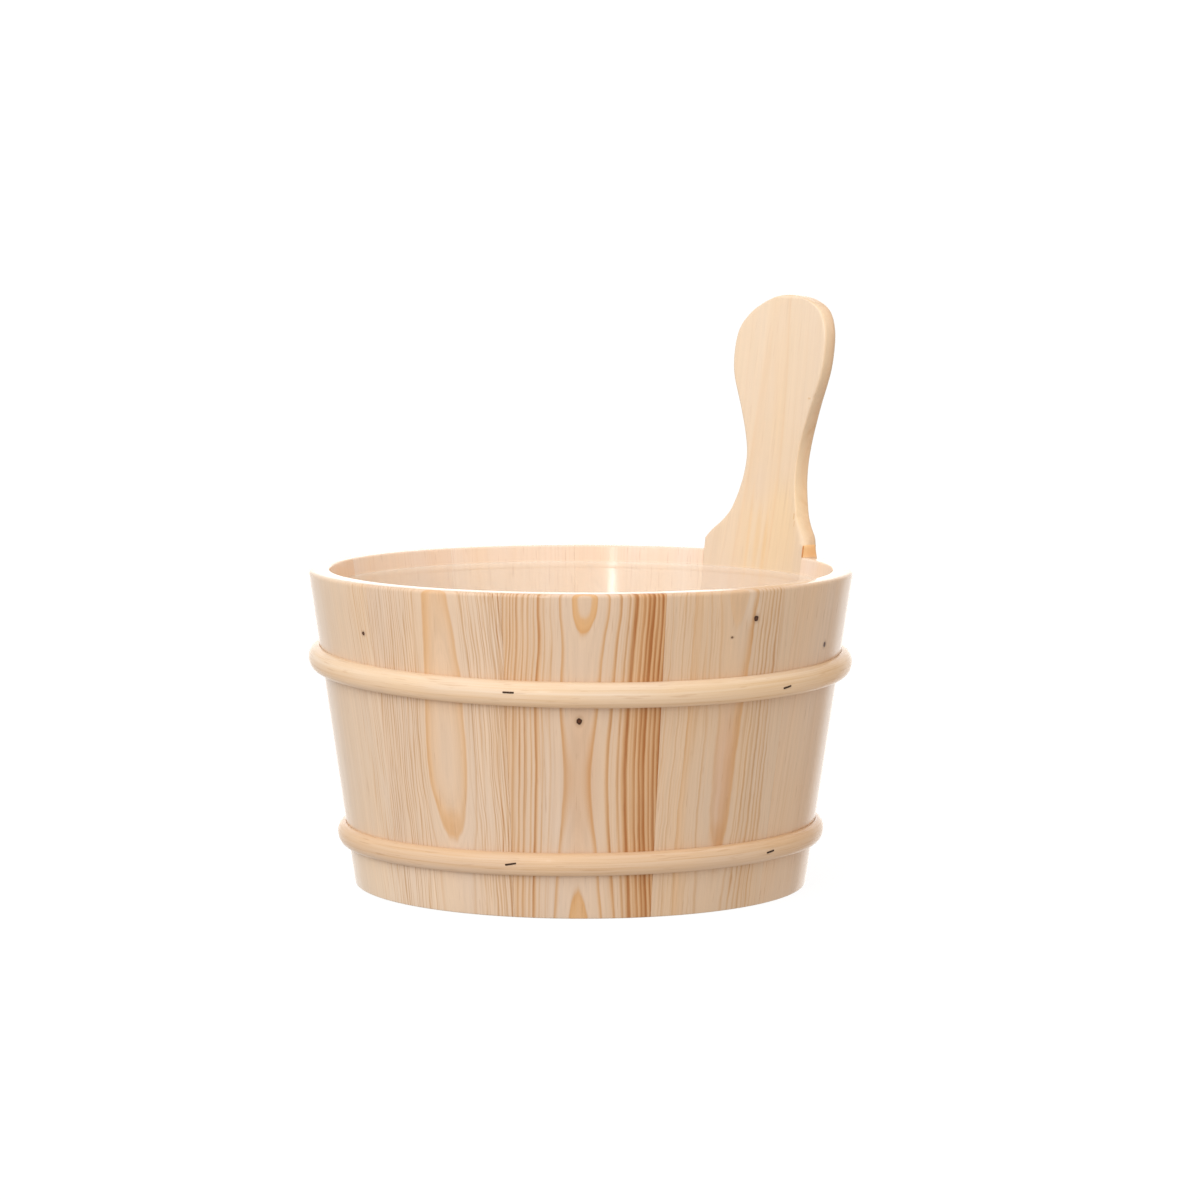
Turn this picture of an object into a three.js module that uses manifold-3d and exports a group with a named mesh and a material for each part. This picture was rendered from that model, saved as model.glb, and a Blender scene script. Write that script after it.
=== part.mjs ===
// Sauna bucket: a flared ring of softwood staves with a board bottom in a groove,
// two half-round hoops held by wire staples, one long stave that ends in a
// paddle handle, and a plastic liner that lifts out.
// Millimetres, +Z up. The origin is on the bucket's axis, on the plane it stands on.
// Azimuths are in degrees, 0 at the front (-Y) and growing towards the right (+X).
import * as THREE from 'three';
import { mergeVertices } from 'three/addons/utils/BufferGeometryUtils.js';
import { LoftGeometry } from 'three/addons/geometries/LoftGeometry.js';
import Module from 'manifold-3d';

// ---------------------------------------------------------------- dimensions

// Stave ring
const BUCKET_H = 150.7;          // height of the rim
const BASE_R = 108;              // outer radius at the base
const RIM_R = 130;               // outer radius at the rim
const WALL = 10;                 // wall thickness, measured along the radius
const RIM_ROUND = 2.2;           // rounding of the rim's outer edge
const RIM_ROUND_IN = 1.0;        // rounding of the rim's inner edge
const BASE_CHAMFER = 0.8;        // chamfer of both base edges
const JOINT_GAP = 0.3;           // gap between neighbouring staves and boards
const SEGMENTS = 72;             // facets of a full circle
// Seams between the staves, in azimuth. The stave between the two
// HANDLE_SEAMS is the handle stave.
const SEAMS = [ - 80.7, - 49.4, - 16.1, 17.3, 50.0, 82.5, 115.8, 149.05, 181.6, 213.0, 248.0 ];
const HANDLE_SEAMS = [ 115.8, 149.05 ];

// Bottom and the groove that holds it
const BOTTOM_Z = 9;              // underside of the bottom
const BOTTOM_T = 10;             // thickness of the bottom
const BOTTOM_R = 103;            // radius of the bottom
const GROOVE_GAP = 0.3;          // play above and below the bottom
const GROOVE_R = 103.6;          // radius of the groove's floor
const BOTTOM_SEAMS = [ - 35, 36 ]; // seams between the three boards, in x

// Hoops: height of the middle, half width, depth, tilt along x and y,
// azimuth where the two ends meet, and slant of that joint
const UPPER_HOOP = { z: 107.8, half: 6.0, depth: 5.75, tx: - 0.0093, ty: 0.0249, joint: 197, slant: 0.7 };
const LOWER_HOOP = { z: 25.35, half: 5.45, depth: 4.4, tx: 0.0089, ty: - 0.0041, joint: 172, slant: - 0.7 };
const HOOP_GAP = 0.3;            // between hoop and staves
const HOOP_END_GAP = 0.6;        // between the two ends of a hoop, in degrees
const HOOP_ARC = 6;              // facets of the half-round section

// Staples: azimuth, height above the hoop's middle, and turn in degrees, with the
// end at the larger azimuth up
const UPPER_STAPLES = [ [ - 97.0, 0, 0 ], [ - 14.6, 1.7, 0 ], [ 47.1, 0.15, 8 ], [ 115.8, - 0.6, - 3 ], [ 190.0, 0.4, 4 ], [ 204.0, - 0.3, 0 ] ];
const LOWER_STAPLES = [ [ - 94.5, 0, 0 ], [ - 15.8, 1.05, 10 ], [ 49.0, 0.4, 7 ], [ 117.6, 0.5, 2 ], [ 165.0, 0.3, - 4 ], [ 179.0, - 0.4, 3 ], [ 230.0, 0.2, 0 ] ];
const STAPLE_W = 5.6;            // length of the crown
const STAPLE_T = 0.6;            // thickness of the crown
const STAPLE_LEG = 0.7;          // width of a leg
const STAPLE_WIRE = 0.8;         // height of crown and legs
const STAPLE_LIFT = 0.2;         // crown above the hoop's crest
const STAPLE_BITE = 5.0;         // how deep the legs go into the stave
const STAPLE_PLAY = 0.3;         // play of the legs in their holes

// Handle: heights above the rim, measured along the stave, and how far the outline
// reaches there to the two sides of its middle line, first towards larger azimuths
const HANDLE_STEP = 5.6;         // straight edge above the rim before the outline turns in
const HANDLE_MID = 131.55;       // azimuth of the outline's middle line
const HANDLE_T = [ 8.1, 8.7, 7.6 ]; // thickness at the foot, at the waist and at the top
const HANDLE_ROUND = 2.1;        // rounding of the handle's edges
const HANDLE_OUTLINE = [
	[ 9.4, 34.2, 31.6 ], [ 14.7, 28.8, 26.9 ], [ 19.7, 24.8, 23.6 ], [ 25.3, 22.3, 21.45 ],
	[ 31, 20.45, 19.8 ], [ 36, 19.25, 18.8 ], [ 41, 18.5, 18.35 ], [ 46, 18.2, 18.25 ],
	[ 51, 18.6, 18.7 ], [ 56, 19.75, 19.45 ], [ 61, 21.25, 20.5 ], [ 66, 22.95, 21.9 ],
	[ 71, 24.8, 23.5 ], [ 76, 26.75, 25.3 ], [ 81, 28.8, 27.25 ], [ 86, 30.7, 29.05 ],
	[ 91, 32, 30.45 ], [ 96, 32.6, 31.2 ], [ 101, 32.7, 31.35 ], [ 106, 32.4, 31.15 ],
	[ 110, 31.6, 30.5 ], [ 114, 29.9, 29.2 ], [ 118, 26.9, 27 ], [ 121.3, 23.4, 24.1 ],
	[ 124, 19.2, 19.9 ], [ 126.1, 15, 14.6 ], [ 127.6, 11.1, 9.2 ], [ 128.5, 7.2, 4 ],
	[ 128.9, 3.4, 0.2 ]
];

// Liner
const LINER_GAP = 0.7;           // between liner and staves
const LINER_T = 1.6;             // wall thickness
const LINER_TOP = 143.0;         // height of its rim
const LINER_SEAT = 0.4;          // above the bottom boards
const LINER_CORNER = 5;          // outer radius where wall and floor meet
const LINER_BEAD = 2.4;          // thickness of the rim

// ---------------------------------------------------------------- helpers

const wasm = await Module();
wasm.setup();

const SLOPE = ( RIM_R - BASE_R ) / BUCKET_H;
const LEAN = Math.atan( SLOPE );
const rad = THREE.MathUtils.degToRad;
const outerR = z => BASE_R + SLOPE * z;
const innerR = z => outerR( z ) - WALL;
const outward = a => new THREE.Vector3( Math.sin( a ), - Math.cos( a ), 0 );

// A closed three.js geometry as a solid; a profile wound the other way is turned round.
function solid( geometry ) {

	const bare = geometry.index ? geometry.toNonIndexed() : geometry.clone();
	bare.deleteAttribute( 'normal' );
	bare.deleteAttribute( 'uv' );
	const merged = mergeVertices( bare, 1e-4 );
	const tri = [];
	const index = merged.index.array;
	for ( let i = 0; i < index.length; i += 3 ) {

		const [ a, b, c ] = [ index[ i ], index[ i + 1 ], index[ i + 2 ] ];
		if ( a !== b && b !== c && c !== a ) tri.push( a, b, c );

	}

	const make = list => new wasm.Manifold( new wasm.Mesh( {
		numProp: 3,
		vertProperties: new Float32Array( merged.attributes.position.array ),
		triVerts: new Uint32Array( list ),
	} ) );
	const first = make( tri );
	if ( first.volume() > 0 ) return first;
	const turned = [];
	for ( let i = 0; i < tri.length; i += 3 ) turned.push( tri[ i ], tri[ i + 2 ], tri[ i + 1 ] );
	return make( turned );

}

// A solid as a three.js geometry.
function geometryOf( body ) {

	const mesh = body.getMesh();
	const stride = mesh.numProp;
	const position = new Float32Array( mesh.vertProperties.length / stride * 3 );
	for ( let i = 0; i < position.length / 3; i ++ )
		for ( let k = 0; k < 3; k ++ ) position[ i * 3 + k ] = mesh.vertProperties[ i * stride + k ];
	const geometry = new THREE.BufferGeometry();
	geometry.setAttribute( 'position', new THREE.BufferAttribute( position, 3 ) );
	geometry.setIndex( new THREE.BufferAttribute( new Uint32Array( mesh.triVerts ), 1 ) );
	geometry.computeVertexNormals();
	return geometry;

}

// A profile of [radius, height] pairs turned about the Z axis.
function turned( profile, closed = true ) {

	const points = profile.map( ( [ r, z ] ) => new THREE.Vector2( r, z ) );
	if ( closed ) points.push( points[ 0 ].clone() );
	return new THREE.LatheGeometry( points, SEGMENTS ).rotateX( Math.PI / 2 );

}

// A loft through closed sections whose two ends close on their middle points.
function lofted( sections ) {

	const pole = points => {

		const c = new THREE.Vector3();
		for ( const p of points ) c.addScaledVector( p, 1 / points.length );
		return points.map( () => c.clone() );

	};

	return solid( new LoftGeometry( [ pole( sections[ 0 ] ), ...sections, pole( sections[ sections.length - 1 ] ) ] ) );

}

// A tall prism over the sector between two azimuths, its sides half a joint gap inside.
function sector( from, to ) {

	const mid = rad( ( from + to ) / 2 ), half = rad( ( to - from ) / 2 );
	const apex = outward( mid ).multiplyScalar( JOINT_GAP / 2 / Math.sin( half ) );
	const reach = 240;
	const a = outward( rad( from ) ).multiplyScalar( reach ).add( apex );
	const b = outward( mid ).multiplyScalar( reach ).add( apex );
	const c = outward( rad( to ) ).multiplyScalar( reach ).add( apex );
	const shape = new THREE.Shape( [ apex, a, b, c ].map( p => new THREE.Vector2( p.x, p.y ) ) );
	return solid( new THREE.ExtrudeGeometry( shape, { depth: 400, bevelEnabled: false } ).translate( 0, 0, - 50 ) );

}

// ---------------------------------------------------------------- staves

// Section of the wall: base chamfers, rounded rim, and the groove for the bottom.
const grooveLow = BOTTOM_Z - GROOVE_GAP, grooveHigh = BOTTOM_Z + BOTTOM_T + GROOVE_GAP;
const H = BUCKET_H;
const wallProfile = [
	[ outerR( 0 ) - BASE_CHAMFER, 0 ],
	[ outerR( BASE_CHAMFER ), BASE_CHAMFER ],
	[ outerR( H - RIM_ROUND ), H - RIM_ROUND ],
	[ outerR( H ) - RIM_ROUND * 0.29, H - RIM_ROUND * 0.29 ],
	[ outerR( H ) - RIM_ROUND, H ],
	[ innerR( H ) + RIM_ROUND_IN, H ],
	[ innerR( H - RIM_ROUND_IN ), H - RIM_ROUND_IN ],
	[ innerR( grooveHigh ), grooveHigh ],
	[ GROOVE_R, grooveHigh ],
	[ GROOVE_R, grooveLow ],
	[ innerR( grooveLow ), grooveLow ],
	[ innerR( BASE_CHAMFER ), BASE_CHAMFER ],
	[ innerR( 0 ) + BASE_CHAMFER, 0 ],
];
const wallRing = solid( turned( wallProfile ) );

// Handle stave: horizontal sections from the base to the top of the handle, each a
// rounded rectangle bent to the wall's curve.
function handleSection( z, half, thick, inset, round, mid ) {

	const r0 = innerR( z ) + inset;
	const u0 = half - round;
	const bent = 6, corner = 2;
	const path = [];
	for ( let i = 0; i <= bent; i ++ ) path.push( [ - u0 + 2 * u0 * i / bent, 0 ] );
	for ( let i = 1; i <= corner; i ++ ) {

		const a = Math.PI / 2 * i / ( corner + 1 );
		path.push( [ u0 + round * Math.sin( a ), round - round * Math.cos( a ) ] );

	}

	path.push( [ half, round ], [ half, thick - round ] );
	for ( let i = 1; i <= corner; i ++ ) {

		const a = Math.PI / 2 * i / ( corner + 1 );
		path.push( [ u0 + round * Math.cos( a ), thick - round + round * Math.sin( a ) ] );

	}

	for ( let i = 0; i <= bent; i ++ ) path.push( [ u0 - 2 * u0 * i / bent, thick ] );
	for ( let i = 1; i <= corner; i ++ ) {

		const a = Math.PI / 2 * i / ( corner + 1 );
		path.push( [ - u0 - round * Math.sin( a ), thick - round + round * Math.cos( a ) ] );

	}

	path.push( [ - half, thick - round ], [ - half, round ] );
	for ( let i = 1; i <= corner; i ++ ) {

		const a = Math.PI / 2 * i / ( corner + 1 );
		path.push( [ - u0 - round * Math.cos( a ), round - round * Math.sin( a ) ] );

	}

	return path.map( ( [ u, q ] ) => {

		const p = outward( mid + u / r0 ).multiplyScalar( r0 + q );
		p.z = z;
		return p;

	} );

}

function handleStave() {

	const [ from, to ] = HANDLE_SEAMS;
	const mid = rad( ( from + to ) / 2 ), half = rad( ( to - from ) / 2 );
	const edge = z => half * innerR( z ) - JOINT_GAP / 2;
	const sections = [];
	const put = ( z, w, thick, inset, round, at ) => sections.push( handleSection( z, w, thick, inset, round, at ) );
	put( 0, edge( 0 ), WALL, 0, 0.2, mid );
	put( H - 5, edge( H - 5 ), WALL, 0, 0.2, mid );
	put( H - 0.5, edge( H - 0.5 ), WALL - 1.1, 0, 0.7, mid );
	put( H + HANDLE_STEP, edge( H + HANDLE_STEP ), HANDLE_T[ 0 ], 0, 2.1, mid );

	const outline = new THREE.CatmullRomCurve3(
		HANDLE_OUTLINE.map( ( [ v, a, b ] ) => new THREE.Vector3( ( a + b ) / 2, v, ( a - b ) / 2 ) ), false, 'centripetal' );
	const top = HANDLE_OUTLINE[ HANDLE_OUTLINE.length - 1 ][ 0 ];
	const steps = HANDLE_OUTLINE.length - 1;
	for ( let i = 0; i <= steps; i ++ ) {

		const p = outline.getPoint( i / steps );
		const v = p.y, w = p.x, aside = p.z;
		const z = H + v * Math.cos( LEAN );
		// the upper end is rounded in thickness as the sides are
		const left = THREE.MathUtils.clamp( HANDLE_ROUND - ( top - v ), 0, HANDLE_ROUND );
		const shrink = HANDLE_ROUND - Math.sqrt( HANDLE_ROUND ** 2 - left ** 2 );
		const foot = THREE.MathUtils.lerp( HANDLE_T[ 0 ], HANDLE_T[ 1 ], THREE.MathUtils.smoothstep( v, HANDLE_STEP, 36 ) );
		const thick = THREE.MathUtils.lerp( foot, HANDLE_T[ 2 ], THREE.MathUtils.smoothstep( v, 40, 95 ) ) - 2 * shrink;
		const turn = THREE.MathUtils.smoothstep( v, HANDLE_STEP, 25 );
		const round = Math.min( THREE.MathUtils.lerp( 2.1, HANDLE_ROUND, turn ), thick * 0.42, w * 0.8 );
		put( z, w, thick, shrink, round, rad( HANDLE_MID ) + aside / ( innerR( z ) + shrink ) );

	}

	let body = lofted( sections );
	const groove = solid( turned( [ [ 80, grooveLow ], [ GROOVE_R, grooveLow ], [ GROOVE_R, grooveHigh ], [ 80, grooveHigh ] ] ) );
	const c = BASE_CHAMFER, r0 = outerR( 0 ), r1 = innerR( 0 );
	const outerCut = solid( turned( [ [ r0 - 2 * c, - c ], [ r0 + 3 * c, - c ], [ r0 + 3 * c, 3.6 * c ] ] ) );
	const innerCut = solid( turned( [ [ r1 + 2 * c, - c ], [ r1 - 3 * c, 3.6 * c ], [ r1 - 3 * c, - c ] ] ) );
	for ( const cut of [ groove, outerCut, innerCut ] ) body = body.subtract( cut );
	return body;

}

// ---------------------------------------------------------------- hoops

// Points of a hoop's half-round section at one azimuth, on the leaning wall.
// lift is measured across the wall, rise along it.
function onWall( hoop, azimuth, lift, rise ) {

	const r = outerR( hoop.z );
	const z0 = hoop.z + hoop.tx * r * Math.sin( azimuth ) - hoop.ty * r * Math.cos( azimuth );
	const radius = outerR( z0 ) + lift * Math.cos( LEAN ) + rise * Math.sin( LEAN );
	const p = outward( azimuth ).multiplyScalar( radius );
	p.z = z0 - lift * Math.sin( LEAN ) + rise * Math.cos( LEAN );
	return p;

}

function hoopBody( hoop ) {

	const from = hoop.joint + HOOP_END_GAP / 2, to = hoop.joint + 360 - HOOP_END_GAP / 2;
	const step = 360 / SEGMENTS;
	const near = 2.6;
	const azimuths = [ from, from + near ];
	for ( let a = Math.ceil( ( from + near + 1 ) / step ) * step; a < to - near - 1; a += step ) azimuths.push( a );
	azimuths.push( to - near, to );
	const sections = azimuths.map( ( a, i ) => {

		const end = i === 0 || i === azimuths.length - 1;
		const points = [];
		for ( let k = 0; k <= HOOP_ARC; k ++ ) {

			const t = Math.PI * ( k / HOOP_ARC - 0.5 );
			const rise = hoop.half * Math.sin( t ), lift = HOOP_GAP + hoop.depth * Math.cos( t );
			const slant = end ? hoop.slant * rise / outerR( hoop.z ) : 0;
			points.push( onWall( hoop, rad( a ) + slant, lift, rise ) );

		}

		return points;

	} );
	return lofted( sections );

}

// ---------------------------------------------------------------- staples

// Where a staple sits: x along the hoop, y out of the wall, z up the wall, then turned about y.
function staplePlace( hoop, azimuth, rise, turn ) {

	const a = rad( azimuth );
	const depth = hoop.depth * Math.sqrt( 1 - ( rise / hoop.half ) ** 2 );
	const crest = onWall( hoop, a, HOOP_GAP + depth + STAPLE_LIFT, rise );
	const y = outward( a ).multiplyScalar( Math.cos( LEAN ) );
	y.z = - Math.sin( LEAN );
	const ahead = onWall( hoop, a + 0.01, HOOP_GAP + hoop.depth, 0 ), behind = onWall( hoop, a - 0.01, HOOP_GAP + hoop.depth, 0 );
	const x = ahead.sub( behind );
	x.addScaledVector( y, - x.dot( y ) ).normalize().negate();
	const z = new THREE.Vector3().crossVectors( x, y );
	if ( z.z < 0 ) { x.negate(); z.negate(); }

	const place = new THREE.Matrix4().makeBasis( x, y, z ).multiply( new THREE.Matrix4().makeRotationY( rad( turn ) ) );
	return place.setPosition( crest );

}

const legLength = hoop => STAPLE_LIFT + hoop.depth + HOOP_GAP + STAPLE_BITE;

function stapleGeometry( hoop ) {

	const w = STAPLE_W / 2, l = STAPLE_LEG, deep = legLength( hoop ), t = STAPLE_T;
	const outline = new THREE.Shape( [
		[ - w, - deep ], [ - w + l, - deep + 0.6 ], [ - w + l, 0 ], [ w - l, 0 ], [ w - l, - deep + 0.6 ], [ w, - deep ],
		[ w, t - 0.25 ], [ w - 0.25, t ], [ - w + 0.25, t ], [ - w, t - 0.25 ],
	].map( ( [ x, y ] ) => new THREE.Vector2( x, y ) ) );
	return new THREE.ExtrudeGeometry( outline, { depth: STAPLE_WIRE, bevelEnabled: false } ).translate( 0, 0, - STAPLE_WIRE / 2 );

}

function legHoles( hoop, place ) {

	const deep = legLength( hoop ) + 0.4, p = 2 * STAPLE_PLAY;
	return [ - 1, 1 ].map( side => solid(
		new THREE.BoxGeometry( STAPLE_LEG + p, deep + 2, STAPLE_WIRE + p )
			.translate( side * ( STAPLE_W - STAPLE_LEG ) / 2, 1 - deep / 2, 0 )
			.applyMatrix4( place ) ) );

}

// ---------------------------------------------------------------- materials

const wood = ( color, roughness = 0.45 ) => new THREE.MeshStandardMaterial( { color, roughness, metalness: 0 } );
const PINE = [ 0xe9c79c, 0xecd0a8, 0xe6c8a0, 0xe8ccab, 0xead0aa ];
const HANDLE_COLOR = 0xefcfa6;
const BOTTOM_COLOR = 0xe8cda6;
const HOOP_COLOR = 0xf0d3ae;
const STEEL_COLOR = 0x3b3631;
const LINER_COLOR = 0xf3e9df;

// ---------------------------------------------------------------- assembly

const bucket = new THREE.Group();
bucket.name = 'bucket';

// Staples first: their legs pass through hoop and stave.
const rows = [
	{ label: 'upper', hoop: UPPER_HOOP, at: UPPER_STAPLES },
	{ label: 'lower', hoop: LOWER_HOOP, at: LOWER_STAPLES },
];
const holes = [];
const staples = new THREE.Group();
for ( const row of rows ) {

	row.holes = [];
	row.at.forEach( ( [ azimuth, rise, turn ], i ) => {

		const place = staplePlace( row.hoop, azimuth, rise, turn );
		const mesh = new THREE.Mesh( stapleGeometry( row.hoop ),
			new THREE.MeshStandardMaterial( { color: STEEL_COLOR, roughness: 0.5, metalness: 0.85 } ) );
		mesh.name = `staple_${ row.label }_${ i + 1 }`;
		mesh.position.setFromMatrixPosition( place );
		mesh.quaternion.setFromRotationMatrix( place );
		staples.add( mesh );
		const pair = legHoles( row.hoop, place );
		row.holes.push( ...pair );
		holes.push( ...pair );

	} );

}

// Staves
const staves = new THREE.Group();
let count = 0;
for ( let i = 0; i < SEAMS.length; i ++ ) {

	const from = SEAMS[ i ];
	const to = i + 1 < SEAMS.length ? SEAMS[ i + 1 ] : SEAMS[ 0 ] + 360;
	const isHandle = from === HANDLE_SEAMS[ 0 ];
	let body = isHandle ? handleStave() : wallRing.intersect( sector( from, to ) );
	for ( const hole of holes ) body = body.subtract( hole );
	if ( ! isHandle ) count ++;
	const mesh = new THREE.Mesh( geometryOf( body ), wood( isHandle ? HANDLE_COLOR : PINE[ i % PINE.length ] ) );
	mesh.name = isHandle ? 'handle_stave' : `stave_${ String( count ).padStart( 2, '0' ) }`;
	staves.add( mesh );

}

// Bottom boards
const disc = solid( turned( [
	[ 0, BOTTOM_Z ], [ BOTTOM_R - 1, BOTTOM_Z ], [ BOTTOM_R, BOTTOM_Z + 1 ],
	[ BOTTOM_R, BOTTOM_Z + BOTTOM_T - 1 ], [ BOTTOM_R - 1, BOTTOM_Z + BOTTOM_T ], [ 0, BOTTOM_Z + BOTTOM_T ],
], false ) );
const bottom = new THREE.Group();
const cuts = [ - 200, ...BOTTOM_SEAMS, 200 ];
[ 'left', 'middle', 'right' ].forEach( ( side, i ) => {

	const x0 = cuts[ i ] + JOINT_GAP / 2, x1 = cuts[ i + 1 ] - JOINT_GAP / 2;
	const slab = solid( new THREE.BoxGeometry( x1 - x0, 400, 60 ).translate( ( x0 + x1 ) / 2, 0, BOTTOM_Z ) );
	const mesh = new THREE.Mesh( geometryOf( disc.intersect( slab ) ), wood( BOTTOM_COLOR, 0.55 ) );
	mesh.name = `bottom_board_${ side }`;
	bottom.add( mesh );

} );

// Hoops
const hoops = new THREE.Group();
for ( const row of rows ) {

	let body = hoopBody( row.hoop );
	for ( const hole of row.holes ) body = body.subtract( hole );
	const mesh = new THREE.Mesh( geometryOf( body ), wood( HOOP_COLOR, 0.4 ) );
	mesh.name = `${ row.label }_hoop`;
	hoops.add( mesh );

}

// Liner: a thin flared cup with a thicker rounded rim
const linerOut = z => innerR( z ) - LINER_GAP;
const seat = BOTTOM_Z + BOTTOM_T + LINER_SEAT;
const linerProfile = [ [ 0, seat ] ];
for ( let i = 0; i <= 3; i ++ ) {

	const a = Math.PI / 2 * i / 3;
	const r = linerOut( seat + LINER_CORNER ) - LINER_CORNER;
	linerProfile.push( [ r + LINER_CORNER * Math.sin( a ), seat + LINER_CORNER * ( 1 - Math.cos( a ) ) ] );

}

const top = LINER_TOP, bead = LINER_BEAD;
linerProfile.push(
	[ linerOut( top - 0.8 ), top - 0.8 ],
	[ linerOut( top ) - 0.7, top ],
	[ linerOut( top ) - bead + 0.7, top ],
	[ linerOut( top - 0.8 ) - bead, top - 0.8 ],
	[ linerOut( top - 2.2 ) - bead, top - 2.2 ],
	[ linerOut( top - 3.2 ) - LINER_T, top - 3.2 ],
);
for ( let i = 3; i >= 0; i -- ) {

	const a = Math.PI / 2 * i / 3;
	const in0 = LINER_CORNER - LINER_T;
	const r = linerOut( seat + LINER_CORNER ) - LINER_CORNER;
	linerProfile.push( [ r + in0 * Math.sin( a ), seat + LINER_T + in0 * ( 1 - Math.cos( a ) ) ] );

}

linerProfile.push( [ 0, seat + LINER_T ] );
const liner = new THREE.Mesh( geometryOf( solid( turned( linerProfile, false ) ) ),
	new THREE.MeshStandardMaterial( { color: LINER_COLOR, roughness: 0.25, metalness: 0, transparent: true, opacity: 0.55 } ) );
liner.name = 'liner';

bucket.add( staves, bottom, hoops, staples, liner );

export default bucket;
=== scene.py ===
import math
import random

import bmesh
import bpy
import numpy as np
from mathutils import Matrix, Vector

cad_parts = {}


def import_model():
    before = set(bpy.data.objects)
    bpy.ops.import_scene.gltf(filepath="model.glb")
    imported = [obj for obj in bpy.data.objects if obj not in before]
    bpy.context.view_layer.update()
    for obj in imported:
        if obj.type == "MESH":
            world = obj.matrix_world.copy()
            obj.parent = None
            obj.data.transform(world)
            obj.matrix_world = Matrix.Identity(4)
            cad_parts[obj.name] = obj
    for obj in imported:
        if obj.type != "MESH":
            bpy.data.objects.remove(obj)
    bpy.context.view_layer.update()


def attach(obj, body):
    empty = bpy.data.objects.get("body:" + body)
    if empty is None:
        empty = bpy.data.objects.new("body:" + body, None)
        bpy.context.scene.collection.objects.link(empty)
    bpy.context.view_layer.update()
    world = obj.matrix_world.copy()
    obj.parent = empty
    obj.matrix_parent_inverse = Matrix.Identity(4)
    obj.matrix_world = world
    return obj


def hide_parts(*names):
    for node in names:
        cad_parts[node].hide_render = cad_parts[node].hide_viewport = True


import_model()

MM = 0.001

# --------------------------------------------------------------------------
# The bucket in millimetres. Azimuth is 0 at the front (-Y) and grows towards +X.
# --------------------------------------------------------------------------
H = 150.7
BASE_R, RIM_R, WALL = 108.0, 130.0, 10.0
SLOPE = (RIM_R - BASE_R) / H
LEAN = math.atan(SLOPE)
COS, SIN = math.cos(LEAN), math.sin(LEAN)
SEAMS = [-80.7, -49.4, -16.1, 17.3, 50.0, 82.5, 115.8, 149.05, 181.6, 213.0, 248.0, 279.3]
STAVE_NAMES = ["stave_01", "stave_02", "stave_03", "stave_04", "stave_05", "stave_06",
               "handle_stave", "stave_07", "stave_08", "stave_09", "stave_10"]
GROOVE = (8.7, 19.3, 103.6)
UPPER = dict(z=107.8, half=6.0, depth=5.75, tx=-0.0093, ty=0.0249, joint=197.0, slant=0.7)
LOWER = dict(z=25.35, half=5.45, depth=4.4, tx=0.0089, ty=-0.0041, joint=172.0, slant=-0.7)
# azimuth, height above the hoop's middle, and turn in degrees
UPPER_STAPLES = [(-97.0, 0.0, 0), (-14.6, 1.7, 0), (47.1, 0.15, 8), (115.8, -0.6, -3), (190.0, 0.4, 4), (204.0, -0.3, 0)]
LOWER_STAPLES = [(-94.5, 0.0, 0), (-15.8, 1.05, 10), (49.0, 0.4, 7), (117.6, 0.5, 2), (165.0, 0.3, -4), (179.0, -0.4, 3), (230.0, 0.2, 0)]


def outer_r(z):
    return BASE_R + SLOPE * z


def inner_r(z):
    return outer_r(z) - WALL


def polar(a, r, z):
    return (math.sin(a) * r, -math.cos(a) * r, z)


def lerp(a, b, t):
    return a + (b - a) * t


def smooth(x, a, b):
    t = min(1.0, max(0.0, (x - a) / (b - a)))
    return t * t * (3 - 2 * t)


def bezier(a, c, b, n):
    """Points of a quadratic curve from a to b, pulled towards c."""
    out = []
    for i in range(n + 1):
        t = i / n
        out.append(tuple((1 - t) ** 2 * p + 2 * t * (1 - t) * q + t * t * r for p, q, r in zip(a, c, b)))
    return out


def srgb(r, g, b):
    return tuple(c / 255 / 12.92 if c / 255 <= 0.04045 else ((c / 255 + 0.055) / 1.055) ** 2.4 for c in (r, g, b))


# --------------------------------------------------------------------------
# Mesh helpers
# --------------------------------------------------------------------------
def mark_sharp(mesh, degrees):
    bm = bmesh.new()
    bm.from_mesh(mesh)
    bmesh.ops.remove_doubles(bm, verts=bm.verts, dist=2e-7)
    bmesh.ops.recalc_face_normals(bm, faces=bm.faces)
    for f in bm.faces:
        f.smooth = True
    for e in bm.edges:
        e.smooth = not (len(e.link_faces) == 2 and e.calc_face_angle(0.0) > math.radians(degrees))
    bm.to_mesh(mesh)
    bm.free()


def piece(name, verts, faces, sharp=30.0):
    mesh = bpy.data.meshes.new(name)
    mesh.from_pydata([(x * MM, y * MM, z * MM) for x, y, z in verts], [], faces)
    mark_sharp(mesh, sharp)
    ob = bpy.data.objects.new(name, mesh)
    bpy.context.scene.collection.objects.link(ob)
    return ob


def tube(rings, loop=False):
    """Skins closed rings of equal length, with flat ends unless it loops."""
    n, m = len(rings[0]), len(rings)
    verts = [p for ring in rings for p in ring]
    faces = []
    for i in range(m if loop else m - 1):
        j = (i + 1) % m
        for k in range(n):
            k2 = (k + 1) % n
            faces.append((i * n + k, i * n + k2, j * n + k2, j * n + k))
    if not loop:
        faces.append(tuple(range(n - 1, -1, -1)))
        faces.append(tuple((m - 1) * n + k for k in range(n)))
    return verts, faces


def inset(path, d):
    """Moves a closed path, which runs counter-clockwise, inwards by d."""
    out = []
    n = len(path)
    for i, p in enumerate(path):
        a, b = path[i - 1], path[(i + 1) % n]
        e1 = np.array(p) - np.array(a)
        e2 = np.array(b) - np.array(p)
        e1 /= max(1e-9, np.linalg.norm(e1))
        e2 /= max(1e-9, np.linalg.norm(e2))
        nrm = np.array((-e1[1] - e2[1], e1[0] + e2[0]))
        nrm /= max(1e-9, np.linalg.norm(nrm))
        out.append((p[0] + nrm[0] * d, p[1] + nrm[1] * d))
    return out


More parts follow.
